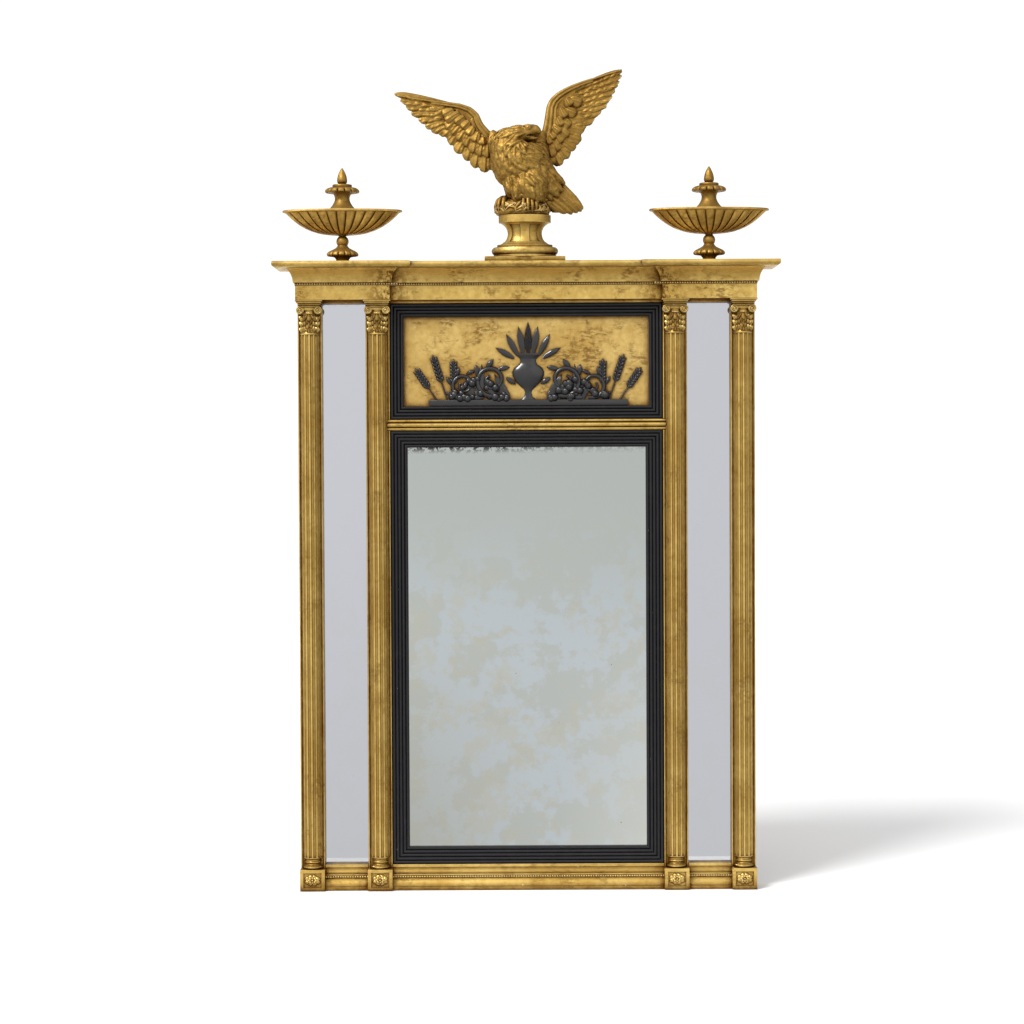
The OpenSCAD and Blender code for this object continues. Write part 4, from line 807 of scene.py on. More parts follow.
class PIER_OT_capitals(bpy.types.Operator):
    """Carves one scroll capital and sets a copy on each half column."""

    bl_idname = "pier.capitals"
    bl_label = "Scroll Capitals"

    def execute(self, context):
        x, d, z = COLUMN_X[0], FIELD_DEPTH, CAPITAL_Z
        r = sizes().scroll_radius / MM
        drum = [(18.4, 0), (19.3, 0.7), (19.6, 2), (19.2, 3.2), (17.6, 4), (17.2, 5), (16.6, 10), (16.2, 24),
                (16.2, 38), (16.8, 44), (17, 52)]
        parts = [cut_behind(turned(drum, x, d, z, 64), d)]
        leaf = blade(LEAF, lambda t: 0.34 * t * t, 0.3, 0.1, thick=0.25)
        places = []
        # On the middle line, from the top: a bar with a pendent leaf, a V and a flared foot
        for turn0, top, turn1, low, width in ((0, 43, 0, 28, 8.5), (0, 31, 0, 17, 6.5), (-4, 19, -14, 30, 5),
                                              (4, 19, 14, 30, 5), (0, 16, -20, 6, 6), (0, 16, 20, 6, 6), (0, 15, 0, 5.5, 7),
                                              (-12, 43, -30, 33, 6), (12, 43, 30, 33, 6)):
            places.append(self.on_drum(x, d, z, turn0, top, turn1, low, width))
        # On each side: leaves that climb and curl away
        for side in (-1, 1):
            for turn0, top, turn1, low, width in ((34, 6, 28, 18, 6.5), (34, 6, 46, 17, 6.5), (36, 17, 26, 28, 6),
                                                  (36, 17, 52, 27, 6.5), (38, 27, 30, 39, 6), (38, 27, 56, 38, 6.5),
                                                  (62, 5, 58, 16, 6.5), (66, 5, 76, 15, 6.5), (64, 16, 74, 28, 6.5),
                                                  (66, 28, 80, 40, 7), (60, 42, 50, 30, 7)):
                places.append(self.on_drum(x, d, z, side * turn0, top, side * turn1, low, width))
        parts.append(copies(leaf, places))
        for turn, up in ((-9, 9.5), (9, 9.5), (-24, 24), (24, 24), (-22, 11), (22, 11), (0, 45), (-44, 22), (44, 22)):
            a = math.radians(turn)
            parts.append(ball(x + 17.4 * math.sin(a), d + 17.4 * math.cos(a), z + up, 1.7, 10, 6))
        parts.append(board(x - 6.5, x + 6.5, d + 15, d + 18.8, z + 43, z + 46, 0.8))
        for side in (-1, 1):
            cx, cz = x + side * 18.4, z + 50.5
            barrel = turned([(r - 1.4, 2.4), (r, 3.2), (r, 5), (r * 0.8, 9), (r * 0.76, 12), (r * 0.84, 15.5),
                             (r, 18.4), (r, 19.6), (r - 1, 20.2)], sides=40)
            barrel.matrix_world = Matrix.Translation(Vector((cx, -d, cz)) * MM) @ Matrix.Rotation(
                math.radians(90), 4, "X")
            parts.append(settle(barrel))
            points = []
            for k in range(0, 45):
                t = k / 44
                q = (r - 0.7) * (1 - 0.8 * t)
                a = math.radians(90 - side * t * 2.15 * 360)
                points.append((cx + q * math.cos(a), d + 20.6 + 1.2 * t, cz + q * math.sin(a), 1.15 - 0.5 * t))
            parts.append(stem(points, 1.25))
            parts.append(ball(cx, d + 21.4, cz, 1.7, 10, 6))
        parts.append(board(x - 18, x + 18, d, d + 18.6, z + 50.2, z + 58, 2))
        parts.append(board(x - 21, x + 21, d + 2.4, d + 19.8, z + 56.4, z + 61, 0.8))
        parts.append(stem([(x - 18.4, d + 20.6, z + 57.9, 1), (x + 18.4, d + 20.6, z + 57.9, 1)], 1.0))
        parts.append(board(x - 23.2, x + 23.2, d + 2.4, d + 22.6, z + 61, z + 65, 0.9))
        parts.append(board(x - 25.6, x + 25.6, d + 6.4, d + 30, z + 64.6, z + 68.6, 0.9))
        parts.append(board(x - 28, x + 28, d + 6.4, d + 32, z + 68.2, z + 71.4, 0.5))
        first = join(parts)
        for name, column in zip(COLUMNS[1:], COLUMN_X[1:]):
            place = Matrix.Translation(Vector(((column - x) * MM, 0, 0)))
            hand_over(copies(first, [place], keep=True), f"{name}_carved_capital", "capital", "gilding",
                      f"{name}_capital")
        hand_over(first, f"{COLUMNS[0]}_carved_capital", "capital", "gilding", f"{COLUMNS[0]}_capital")
        return {"FINISHED"}

    @staticmethod
    def on_drum(x, d, z, turn0, z0, turn1, z1, width):
        """The place of a leaf that lies on the drum from one height to another."""
        a, b = math.radians(turn0), math.radians(turn1)
        root = Vector((x + 16.6 * math.sin(a), -(d + 16.6 * math.cos(a)), z + z0)) * MM
        tip = Vector((x + 17.4 * math.sin(b), -(d + 17.4 * math.cos(b)), z + z1)) * MM
        facing = Vector((math.sin((a + b) / 2), -math.cos((a + b) / 2), 0))
        return lying(root, tip, facing, width * MM, 10 * MM)


class PIER_OT_blocks(bpy.types.Operator):
    """Cuts the plinth blocks with their sunk panels and carves an oval flower in each."""

    bl_idname = "pier.blocks"
    bl_label = "Plinth Blocks"

    def execute(self, context):
        box = span("left_outer_block")
        x, z = (box[0] + box[1]) / 2, (box[4] + box[5]) / 2
        body = board(*box, bevel=sizes().edge_wear / MM)
        edit(body)
        front = -box[3] * MM
        choose(body, lambda face: face.normal.y < -0.99 and abs(face.calc_center_median().y - front) < 1e-5,
               faces=True)
        bpy.ops.mesh.inset(thickness=sizes().panel_border)
        bpy.ops.mesh.extrude_region_move(TRANSFORM_OT_translate={"value": (0, 0.8 * MM, 0)})
        bpy.ops.mesh.inset(thickness=0.9 * MM)
        bpy.ops.mesh.extrude_region_move(TRANSFORM_OT_translate={"value": (0, sizes().panel_sink - 0.8 * MM, 0)})
        close_up(body, 30)
        ground = box[3] - sizes().panel_sink / MM
        petal = blade(LEAF, lambda t: 0.55 * math.sin(math.pi * t) * 0.3, 0.32, -0.1, thick=0.3)
        places = []
        for k in range(8):
            a = math.radians(45 * k + 22.5)
            root = Vector((x + 3.6 * math.cos(a), -ground + 0.4, z + 2.6 * math.sin(a))) * MM
            tip = Vector((x + 18.2 * math.cos(a), -ground + 0.2, z + 12.8 * math.sin(a))) * MM
            places.append(lying(root, tip, (0, -1, 0), 10.4 * MM, 8 * MM))
        for k in range(8):
            a = math.radians(45 * k)
            root = Vector((x + 2 * math.cos(a), -ground - 1.2, z + 1.5 * math.sin(a))) * MM
            tip = Vector((x + 11.4 * math.cos(a), -ground - 1.6, z + 8.2 * math.sin(a))) * MM
            places.append(lying(root, tip, (0, -1, 0), 6.2 * MM, 6 * MM))
        flower = copies(petal, places)
        first = join([body, flower, ball(x, ground + 2, z, 2.7)])
        for name, column in zip(COLUMNS[1:], COLUMN_X[1:]):
            place = Matrix.Translation(Vector(((column - x) * MM, 0, 0)))
            hand_over(copies(first, [place], keep=True), f"{name}_carved_block", "gilding", "gilding",
                      f"{name}_block")
        hand_over(first, f"{COLUMNS[0]}_carved_block", "gilding", "gilding", f"{COLUMNS[0]}_block")
        return {"FINISHED"}


class PIER_OT_relief(bpy.types.Operator):
    """Carves the tablet's relief: a vase between leaf scrolls and ears of corn."""

    bl_idname = "pier.relief"
    bl_label = "Tablet Relief"

    def execute(self, context):
        box = span("tablet_relief")
        x, d, z = (box[0] + box[1]) / 2, box[2], box[4]
        high = sizes().relief_height / MM
        rng = random.Random(5)
        parts = [board(box[0], box[1], d, d + high, z, z + 12, 1.2)]
        vase = turned([(22, 0), (22, 6), (17, 10), (9, 16), (6.6, 24), (8, 30), (17, 38), (27, 48), (32.5, 60),
                       (33, 68), (29, 76), (19, 83), (16, 88), (17, 95), (24, 101), (26, 103), (26, 106)], x, 0, z + 2, 40)
        vase.matrix_world = Matrix.Translation((0, -d * MM, 0)) @ Matrix.Diagonal((1, high / 33 * 1.5, 1, 1))
        parts.append(cut_behind(settle(vase), d))
        leaf = blade(LEAF, lambda t: 0.1 * math.sin(math.pi * t), 0.24, -0.08, thick=0.2)
        places = []
        for side in (-1, 1):
            parts.append(self.scroll(x, d, z, side, 76, 52, 34, 1.5, 5.6))
            parts.append(self.scroll(x, d, z, side, 134, 42, 27, 1.4, 4.8))
            for k in range(7):
                a = math.radians(-60 + 44 * k)
                self.leaf_at(places, x, d, z, side, 76 + 33 * math.cos(a), 46 + 33 * math.sin(a),
                             math.degrees(a) + 55, 22, 10)
            for k in range(6):
                a = math.radians(-40 + 48 * k)
                self.leaf_at(places, x, d, z, side, 134 + 26 * math.cos(a), 40 + 26 * math.sin(a),
                             math.degrees(a) + 50, 18, 8)
            for foot, lean, tall in ((166, 72, 92), (186, 56, 74), (152, 88, 78)):
                a = math.radians(lean)
                tip = (foot + tall * math.cos(a), 6 + tall * math.sin(a))
                parts.append(stem([(x + side * foot, d + 2, z + 6, 1),
                                   (x + side * tip[0], d + 3, z + tip[1], 0.6)], 1.5))
                for k in range(6):
                    t = 0.5 + 0.09 * k
                    px, pz = foot + (tip[0] - foot) * t, 6 + (tip[1] - 6) * t
                    for lay in (-34, 34):
                        self.leaf_at(places, x, d, z, side, px, pz, lean + lay, 13, 5.4)
                self.leaf_at(places, x, d, z, side, tip[0] - 2 * math.cos(a), tip[1] - 2 * math.sin(a), lean, 14, 5.4)
            # A heap of fruit between the vase and each scroll's foot
            for _ in range(30):
                px = rng.uniform(44, 160)
                pz = 12 + rng.random() * (54 * (1 - abs(px - 104) / 66) + 2)
                size = rng.uniform(6, 9.5)
                parts.append(ball(x + side * px, d + rng.uniform(0.5, 3.5), z + pz, size, 14, 10))
            for px, pz, lean, long, wide in ((40, 8, 62, 60, 17), (52, 8, 40, 46, 14), (104, 10, 96, 70, 17),
                                             (112, 10, 70, 44, 13), (22, 104, 62, 46, 12), (10, 106, 80, 54, 13),
                                             (30, 98, 30, 40, 11), (0, 106, 90, 62, 14)):
                self.leaf_at(places, x, d, z, side, px, pz, lean, long, wide)
        parts.append(copies(leaf, places))
        relief = join(parts)
        hand_over(relief, "carved_tablet_relief", "polished", "ebonised_wood", "tablet_relief")
        return {"FINISHED"}

    @staticmethod
    def scroll(x, d, z, side, cx, cz, radius, turns, thick):
        """A leaf scroll that winds in to its eye."""
        points = []
        for k in range(41):
            t = k / 40
            q = radius * (1 - 0.72 * t)
            a = math.radians(-110 + 360 * turns * t)
            points.append((x + side * (cx + q * math.cos(a)), d + 2.5, z + cz + q * math.sin(a), 1.0 - 0.5 * t))
        return stem(points, thick)

    @staticmethod
    def leaf_at(places, x, d, z, side, px, pz, lean, long, wide):
        """Adds the place of one leaf of the relief, mirrored on its side."""
        a = math.radians(lean)
        root = Vector((x + side * px, -d - 1.4, z + pz)) * MM
        tip = Vector((x + side * (px + long * math.cos(a)), -d - 2.4, z + pz + long * math.sin(a))) * MM
        places.append(lying(root, tip, (0, -1, 0), wide * MM, 9 * MM))


class PIER_OT_urns(bpy.types.Operator):
    """Turns and carves one tazza finial, foot, lobed bowl and cover, and copies it."""

    bl_idname = "pier.urns"
    bl_label = "Tazza Finials"

    def execute(self, context):
        box = BOWL["left"]
        x, d = (box[0] + box[1]) / 2, (box[2] + box[3]) / 2
        z0, z1 = box[4], box[5]
        foot_z = span("left_urn_foot")[4]
        foot = [(13.6, 0), (12.9, 3), (13.4, 7), (16.6, 11), (22, 13), (28, 13.3), (31.6, 14), (33, 16.4), (32, 19.4),
                (29.4, 22), (25, 24.6), (20, 27), (15.6, 29.4), (12.8, 31.4)]
        foot += [(12.7 * math.sin(math.radians(a)), 43.6 - 12.7 * math.cos(math.radians(a)))
                 for a in range(52, 152, 12)] + [(8.2, 54.6), (8.2, 56)]
        feet = self.leafy(turned(foot, x, d, foot_z, 14 * 8), x, d, 22, 33)
        cover = [(29.4, 0), (28.6, 1.4), (24.8, 4.6), (20.6, 9.6), (17.4, 15), (15.4, 20), (15.1, 25), (16.4, 30),
                 (19, 33.4), (23, 35.8), (28, 35.9), (32.4, 35.2), (34.8, 36), (35.6, 38.4), (34.6, 41), (32, 43.4),
                 (28, 45.3), (23.5, 46.2), (19.8, 46.6), (20, 48), (20, 51), (19.2, 52.2), (9, 52.6)]
        cap = self.leafy(turned(cover, x, d, z1, 14 * 8), x, d, 25, 36)
        top = join([cap, self.bud(x, d, z1)])
        bowl = self.bowl(x, d, z0, z1)
        shift = Matrix.Translation(Vector(((BOWL["right"][0] + BOWL["right"][1]) / 2 - x, 0, 0)) * MM)
        for thing, name in ((feet, "foot"), (bowl, "bowl"), (top, "cover")):
            finish = "bowl" if name == "bowl" else "old_gilding"
            hand_over(copies(thing, [shift], keep=True), f"right_carved_urn_{name}", finish,
                      "dark_gilding", f"right_urn_{name}")
            hand_over(thing, f"left_carved_urn_{name}", finish, "dark_gilding", f"left_urn_{name}")
        return {"FINISHED"}

    @staticmethod
    def leafy(thing, x, d, inner, outer, leaves=14):
        """Cuts a turned collar into leaves: narrow notches at the rim, a rib on each leaf."""
        edit(thing)
        mesh = bmesh.from_edit_mesh(thing.data)
        centre = Vector((x, -d, 0)) * MM
        for vert in mesh.verts:
            arm = (vert.co - centre).xy
            out = arm.length / MM
            if out < inner:
                continue
            share = min(1, (out - inner) / (outer - inner))
            turn = (math.atan2(arm.y, arm.x) / (2 * math.pi) * leaves) % 1
            gap = (2 * abs(turn - 0.5)) ** 6
            wave = math.cos(2 * math.pi * turn)
            cut = 1 - 0.13 * gap * share
            vert.co.x = centre.x + arm.x * cut
            vert.co.y = centre.y + arm.y * cut
            vert.co.z += (1.7 * gap - 0.4 * wave) * share * MM
        bmesh.update_edit_mesh(thing.data)
        return close_up(thing, 50)

    @staticmethod
    def bud(x, d, z):
        """The closed bud, with six petals."""
        stations = [(6, 52.6), (8.6, 54), (10.4, 57), (10.8, 60.4), (10.3, 65), (9, 71), (6.6, 77), (3.8, 82.4),
                    (1.4, 86), (0.3, 87)]
        bud = turned(stations, x, d, z, 36)
        edit(bud)
        centre = Vector((x, -d, 0)) * MM
        choose(bud, lambda vert: round(math.degrees(math.atan2(vert.co.y - centre.y, vert.co.x - centre.x))) % 60 < 6)
        bpy.ops.transform.resize(value=(0.94, 0.94, 1), center_override=centre)
        rest()
        return modify(bud, "SUBSURF", levels=1, render_levels=1)

    @staticmethod
    def bowl(x, d, z0, z1):
        """The shallow bowl: turned, then drawn to its oval and grooved between its lobes."""
        lobes, groove = sizes().lobes, sizes().lobe_depth / MM
        rim_h, wide, deep = 5, 123.5, 40
        high = z1 - z0 - rim_h
        rows = [(k / 10, max(0.1, (k / 10) ** 0.37)) for k in (0, 0.15, 0.5, 1, 2, 3, 4, 5, 6, 7, 8, 9, 10)]
        stations = [(118.5 * share, high * h) for h, share in rows]
        stations += [(121, high + 0.1), (123, high + 0.9), (123.5, high + 2.4), (122.6, high + 4.2),
                     (120.5, high + 5), (117.5, high + 4.6), (113, high + 2.4), (90, high + 1), (60, high + 1),
                     (40, high + 2.4), (31, high + 4.6), (20, high + 4.7)]
        points = lobes * 8
        bowl = turned(stations, x, d, z0, points)
        # Where the lobes fall: even steps round the oval and not round the circle
        flat = deep / wide
        walk = [0.0]
        for k in range(3600):
            a = math.radians(k / 10)
            walk.append(walk[-1] + math.hypot(math.sin(a), flat * math.cos(a)))
        turns, k = [], 0
        for n in range(points):
            while walk[k + 1] < walk[-1] * n / points:
                k += 1
            turns.append(math.radians(k / 10))
        edit(bowl)
        mesh = bmesh.from_edit_mesh(bowl.data)
        centre = Vector((x, -d, z0)) * MM
        for vert in mesh.verts:
            arm = (vert.co - centre).xy
            out, up = arm.length / MM, (vert.co.z - centre.z) / MM
            step_at = round((math.atan2(arm.y, arm.x) % (2 * math.pi)) / (2 * math.pi) * points) % points
            a = turns[step_at]
            squash = (11 + max(out - 11, 0) * (deep - 11) / (wide - 11)) / max(out, 11)
            across, along = out * math.cos(a), out * squash * math.sin(a)
            if up <= high + 0.01 and out < 120:
                phase = abs((step_at % 8) / 4 - 1)
                hollow = groove * phase ** 5 * min(1, up / 6) * min(1, (high - up) / 3 + 0.25)
                square = Vector((math.cos(a) * squash, math.sin(a))).normalized()
                across, along = across - square.x * hollow, along - square.y * hollow
            vert.co.x, vert.co.y = centre.x + across * MM, centre.y + along * MM
        bmesh.update_edit_mesh(bowl.data)
        return close_up(bowl, 45)


# The bird: x from the eagle's centre line, depth from the bird's own, height above the perch


TRUNK = [(86, -4, -32, 92, 30, 5), (70, -3, -6, 112, 26, 11), (48, -1, 16, 122, 30, 19), (24, 1, 36, 120, 38, 27),
         (-3, 3, 58, 112, 53, 33), (-8, 4, 76, 103, 55, 36), (-15, 5, 90, 98, 50, 35), (-21, 7, 101, 92, 44, 32),
         (-28, 9, 112, 78, 34, 27), (-25, 11, 118, 60, 28, 24), (-19, 13, 121, 40, 21.5, 21.5),
         (-11, 14.5, 124, 20, 18.5, 19.5), (0, 16, 128, 8, 17, 17), (9, 17, 130.2, 1, 15.6, 14.6),
         (16, 18, 132, -3, 13.4, 11.6), (21, 18.5, 133, -6, 10, 8.5)]
UPPER_BEAK = [(9, 17.5, 134.6, 2, 11.6, 11.4), (17, 18.5, 135.8, -2, 10.6, 9.6), (24, 19.5, 135, -18, 9.8, 7.8),
              (28.6, 20, 132, -46, 7, 5.8), (30.8, 20, 128, -72, 4.2, 3.6), (30.6, 20, 122.5, -94, 1.2, 1.2)]
LOWER_BEAK = [(0, 16, 118.5, 0, 7, 10), (10, 17, 117.6, -2, 5.4, 8.6), (19, 18.4, 117.2, 0, 4.2, 6.4),
              (27, 19.4, 117.6, 4, 2.4, 3.8), (30, 19.6, 118.2, 4, 0.8, 1.4)]
MOUTH = [(1, 34, 121.4, 4, 0.5, 16), (10, 34, 122.4, 6, 1.9, 16), (22, 34, 124, 8, 2.6, 16), (33, 34, 125.6, 8, 3, 16)]
THIGHS = [[(-9, 12, -4, 100, 14, 17), (-14, 14, 10, 102, 19, 19), (-19, 11, 30, 106, 22, 21), (-16, 7, 50, 104, 22, 18)],
          [(17, 15, -4, 85, 21, 16), (14, 18, 8, 85, 26, 19), (11, 16, 30, 90, 31, 23), (10, 10, 54, 94, 26, 20)]]
BELLY = [(9, 2, -4, 90, 33, 18), (6, 2, 12, 94, 38, 22), (0, 2, 40, 104, 44, 27)]
SHOULDERS = [[(8, -4, 70, 60, 34, 26), (18, -6, 96, 62, 30, 22), (28, -7, 120, 66, 21, 15), (37, -8, 135, 72, 11, 10)],
             [(-40, -2, 92, 110, 24, 24), (-52, -3, 110, 118, 20, 20), (-62, -4, 124, 125, 13, 13),
              (-70, -5, 134, 130, 8, 9)]]
# The grain of the plumage: a place in x and height, and the way the feathers lie there
GRAIN = [(0, 130, -1, -0.15), (-10, 113, -1, -0.3), (-26, 102, -0.9, -0.5), (-8, 96, 0.5, -0.6), (-40, 127, -1, -0.55), (-59, 103, -0.3, -1), (-55, 71, 0.15, -1), (-32, 87, 0.1, -1),
         (-12, 66, 0.75, -0.6), (8, 73, 1, -0.2), (32, 63, 1, -0.5), (16, 94, 0.9, 0), (0, 35, 0.6, -0.8),
         (-44, 32, 0.5, -1), (40, 24, 0.75, -0.75), (71, 40, 0.62, -0.85), (95, -8, 0.65, -0.8), (8, 4, 0.3, -1),
         (-26, 6, 0.1, -1)]
LEADS = {
    "left": [(-46, 118), (-56, 127), (-70, 134), (-86, 152), (-94, 172), (-110, 186), (-134, 194), (-186, 200), (-226, 206),
             (-264, 213)],
    "right": [(32, 118), (37, 134), (41, 150), (44, 170), (46.5, 187), (54, 202), (66, 213), (82, 223), (102, 232),
              (128, 241), (153, 248), (178, 256), (201, 262)],
}
# Rows of feathers, from the wing's tip inwards: places of the roots, of the tips, width and depth
WING_ROWS = {
    "left": (
        ([(-152, 194), (-150, 172), (-141, 144)],
         [(-269, 215), (-257, 201), (-245, 189), (-234, 174), (-219, 160), (-205, 147), (-192, 137), (-177, 131),
          (-164, 126)], 22, 40),
        ([(-137, 157), (-114, 141), (-90, 123), (-68, 116)],
         [(-165, 127), (-154, 109), (-140, 91), (-120, 76), (-103, 60), (-83, 51), (-67, 56)], 27, 43),
        ([(-129, 168), (-112, 154), (-95, 135), (-76, 123)],
         [(-161, 141), (-149, 129), (-137, 116), (-121, 104), (-107, 91), (-92, 84), (-76, 81)], 24, 46.5),
        ([(-146, 181), (-128, 172), (-113, 157), (-100, 140), (-85, 124)],
         [(-168, 169), (-163, 157), (-143, 152), (-128, 141), (-116, 127), (-103, 113), (-85, 107)], 22, 49.5),
    ),
    "right": (
        ([(84, 216), (78, 190), (74, 164), (74, 140)],
         [(204, 261), (203, 250), (198, 237), (189, 221), (183, 207), (173, 193), (160, 178), (146, 161), (129, 150)], 24, 40),
        ([(72, 159), (67, 135), (54, 122), (46, 116)],
         [(127, 162), (125, 138), (118, 116), (106, 99), (92, 80), (74, 64), (57, 66)], 28, 43),
        ([(90, 203), (76, 170), (68, 145), (58, 128), (48, 116)],
         [(119, 193), (108, 171), (95, 145), (91, 124), (76, 110), (70, 94), (57, 81)], 25, 46.5),
        ([(86, 203), (71, 178), (64, 154), (54, 132), (44, 122)],
         [(96, 187), (84, 162), (76, 145), (74, 132), (61, 118), (52, 107)], 22, 49.5),
    ),
}
ROCK = [(-5, 0, 34.5, 39), (-31, -2, 29, 35.6), (23, -1, 28, 34.4)]
# Toes: place in x, height of the knuckle, turn about the vertical, length and reach out over the rock
TOES = [(-29, 27, -86, 22, 23), (-30, 29, -66, 24, 23.5), (-30, 31, -47, 25, 24), (-29, 31, -28, 25, 25),
        (10, 30, -37, 26, 29), (9, 31, -19, 27, 30), (8, 32, -2, 27, 30.5), (7, 31, 13, 27, 30), (6, 30, 28, 25, 30)]


def bird_oval(section):
    x, deep_at, z, direction, across, deep = section
    return oval(EAGLE_X + x, BIRD_DEPTH + deep_at, BIRD_Z + z, direction, across, deep)


def between(sections, share):
    """A section part of the way along a list of sections."""
    place = max(0, min(0.9999, share)) * (len(sections) - 1)
    k = int(place)
    return [a + (b - a) * (place - k) for a, b in zip(sections[k], sections[k + 1])]


def on_skin(section, angle, out=1.0):
    """A point on a section's oval, in metres."""
    a = math.radians(angle)
    return bird_oval(section) @ Vector((math.cos(a) * out, math.sin(a) * out, 0))


class PIER_OT_eagle(bpy.types.Operator):
    """Carves the eagle's body, legs, head and beak, and lays its small feathers."""

    bl_idname = "pier.eagle"
    bl_label = "Eagle's Body"

    def execute(self, context):
        core = [lofted([bird_oval(s) for s in TRUNK], 28)]
        core += [lofted([bird_oval(s) for s in mass], 20) for mass in THIGHS + SHOULDERS + [BELLY]]
        core.append(lofted([bird_oval(s) for s in UPPER_BEAK], 16))
        core.append(lofted([bird_oval(s) for s in LOWER_BEAK], 16))
        for side in (-1, 1):
            # Brow over each eye
            core.append(stem([(EAGLE_X - 3, BIRD_DEPTH + 16 + side * 15, BIRD_Z + 142, 0.6),
                              (EAGLE_X + 7, BIRD_DEPTH + 17 + side * 14, BIRD_Z + 143.4, 1),
                              (EAGLE_X + 17, BIRD_DEPTH + 18 + side * 10, BIRD_Z + 141, 0.7)], 2.8))
        body = join(core)
        modify(body, "REMESH", mode="VOXEL", voxel_size=1.5 * MM)
        modify(body, "SMOOTH", factor=0.5, iterations=3)
        mouth = lofted([bird_oval(s) for s in MOUTH], 16)
        modify(body, "BOOLEAN", object=mouth, operation="DIFFERENCE", solver="FAST")
        bpy.data.objects.remove(mouth)
        parts = [self.plumage(body), self.tail(), body] + self.eyes()
        bird = join(parts)
        # Melted together, as gesso leaves the gouge's cuts
        modify(bird, "REMESH", mode="VOXEL", voxel_size=1.2 * MM)
        modify(bird, "SMOOTH", factor=0.4, iterations=1)
        hold(bird)
        bpy.ops.object.shade_smooth_by_angle(angle=math.radians(70))
        hand_over(bird, "carved_eagle_body", "old_gilding", "dark_gilding", "eagle_body")
        return {"FINISHED"}

    @staticmethod
    def eyes():
        """The eyes, each in its lid."""
        parts = []
        for side in (-1, 1):
            x, depth, z = EAGLE_X + 7.4, BIRD_DEPTH + 17 + side * 14.4, BIRD_Z + 138.4
            parts.append(ball(x, depth, z, 3.3))
            ring = [(x + 5 * math.cos(k * math.pi / 8), depth + side * 0.5, z + 4.4 * math.sin(k * math.pi / 8), 1)
                    for k in range(16)]
            parts.append(stem(ring, 1.2, closed=True))
        return parts

    @staticmethod
    def plumage(body):
        """Feathers strewn over the body, each lying along the plumage's grain."""
        rng = random.Random(7)
        long = sizes().plume_length
        seeds = copies(body, [Matrix()], keep=True)
        modify(seeds, "REMESH", mode="VOXEL", voxel_size=0.3 * long)
        plume = blade(PLUME, lambda t: 0.22 * math.sin(math.pi * t), 0.3, 0.0, across=8, thick=0.2, strand=0.07)
        places = []
        for seed in seeds.data.vertices:
            _, spot, facing, _ = body.closest_point_on_mesh(seed.co)
            x, z = spot.x / MM - EAGLE_X, spot.z / MM - BIRD_Z
            if ((x > -8 and z > 106) or x > 66 or (x > 46 and z < 12) or (x < -52 and z > 118) or (x < -24 and z < 8)
                    or (x < -37 and z < 36)):
                continue
            flow = Vector((0, 0, 0))
            for gx, gz, dx, dz in GRAIN:
                flow += Vector((dx, 0, dz)).normalized() / (30 + (x - gx) ** 2 + (z - gz) ** 2) ** 1.5
            facing = facing.copy()
            flow = flow - facing * flow.dot(facing)
            side = facing.cross(flow)
            turn = math.radians(rng.uniform(-15, 15))
            flow = (flow.normalized() * math.cos(turn) + side.normalized() * math.sin(turn)).normalized()
            slim = 0.24 if z > 84 else 0.32
            size = rng.uniform(0.85, 1.3) * (0.8 if z > 112 else 1)
            root = spot - facing * 2 * MM - flow * rng.uniform(0.35, 0.6) * long * size
            tip = root + flow * long * size + facing * rng.uniform(2.5, 5) * MM
            places.append(lying(root, tip, facing, long * slim * size, (10 if z > 84 else 13) * MM * size))
        bpy.data.objects.remove(seeds)
        return copies(plume, places)

    @staticmethod
    def tail():
        """The long tail feathers."""
        quill = blade(QUILL, lambda t: 0.04 * math.sin(math.pi * t), 0.26, 0.06, thick=0.14)
        places = []
        # The tail's own feathers, then the longer ones of the rump over them
        for x, z, tx, tz, wide, out in ((55, 48, 121, -27, 15, 7), (50, 34, 118, -31, 15, 10), (44, 24, 110, -34, 15, 13),
                                        (40, 12, 99, -36, 15, 10), (38, 0, 86, -35, 15, 7), (36, -8, 72, -31, 14, 4),
                                        (32, 76, 84, 22, 14, 20), (25, 64, 79, 8, 15, 24), (18, 48, 72, -2, 16, 24),
                                        (8, 34, 58, -8, 17, 22)):
            for facing, depth in (((0, -1, 0), out), ((0, 1, 0), -out)):
                root = Vector((EAGLE_X + x, -BIRD_DEPTH - depth, BIRD_Z + z)) * MM
                tip = Vector((EAGLE_X + tx, -BIRD_DEPTH - depth * 0.6, BIRD_Z + tz)) * MM
                places.append(lying(root, tip, facing, wide * MM, 16 * MM))
        return copies(quill, places)


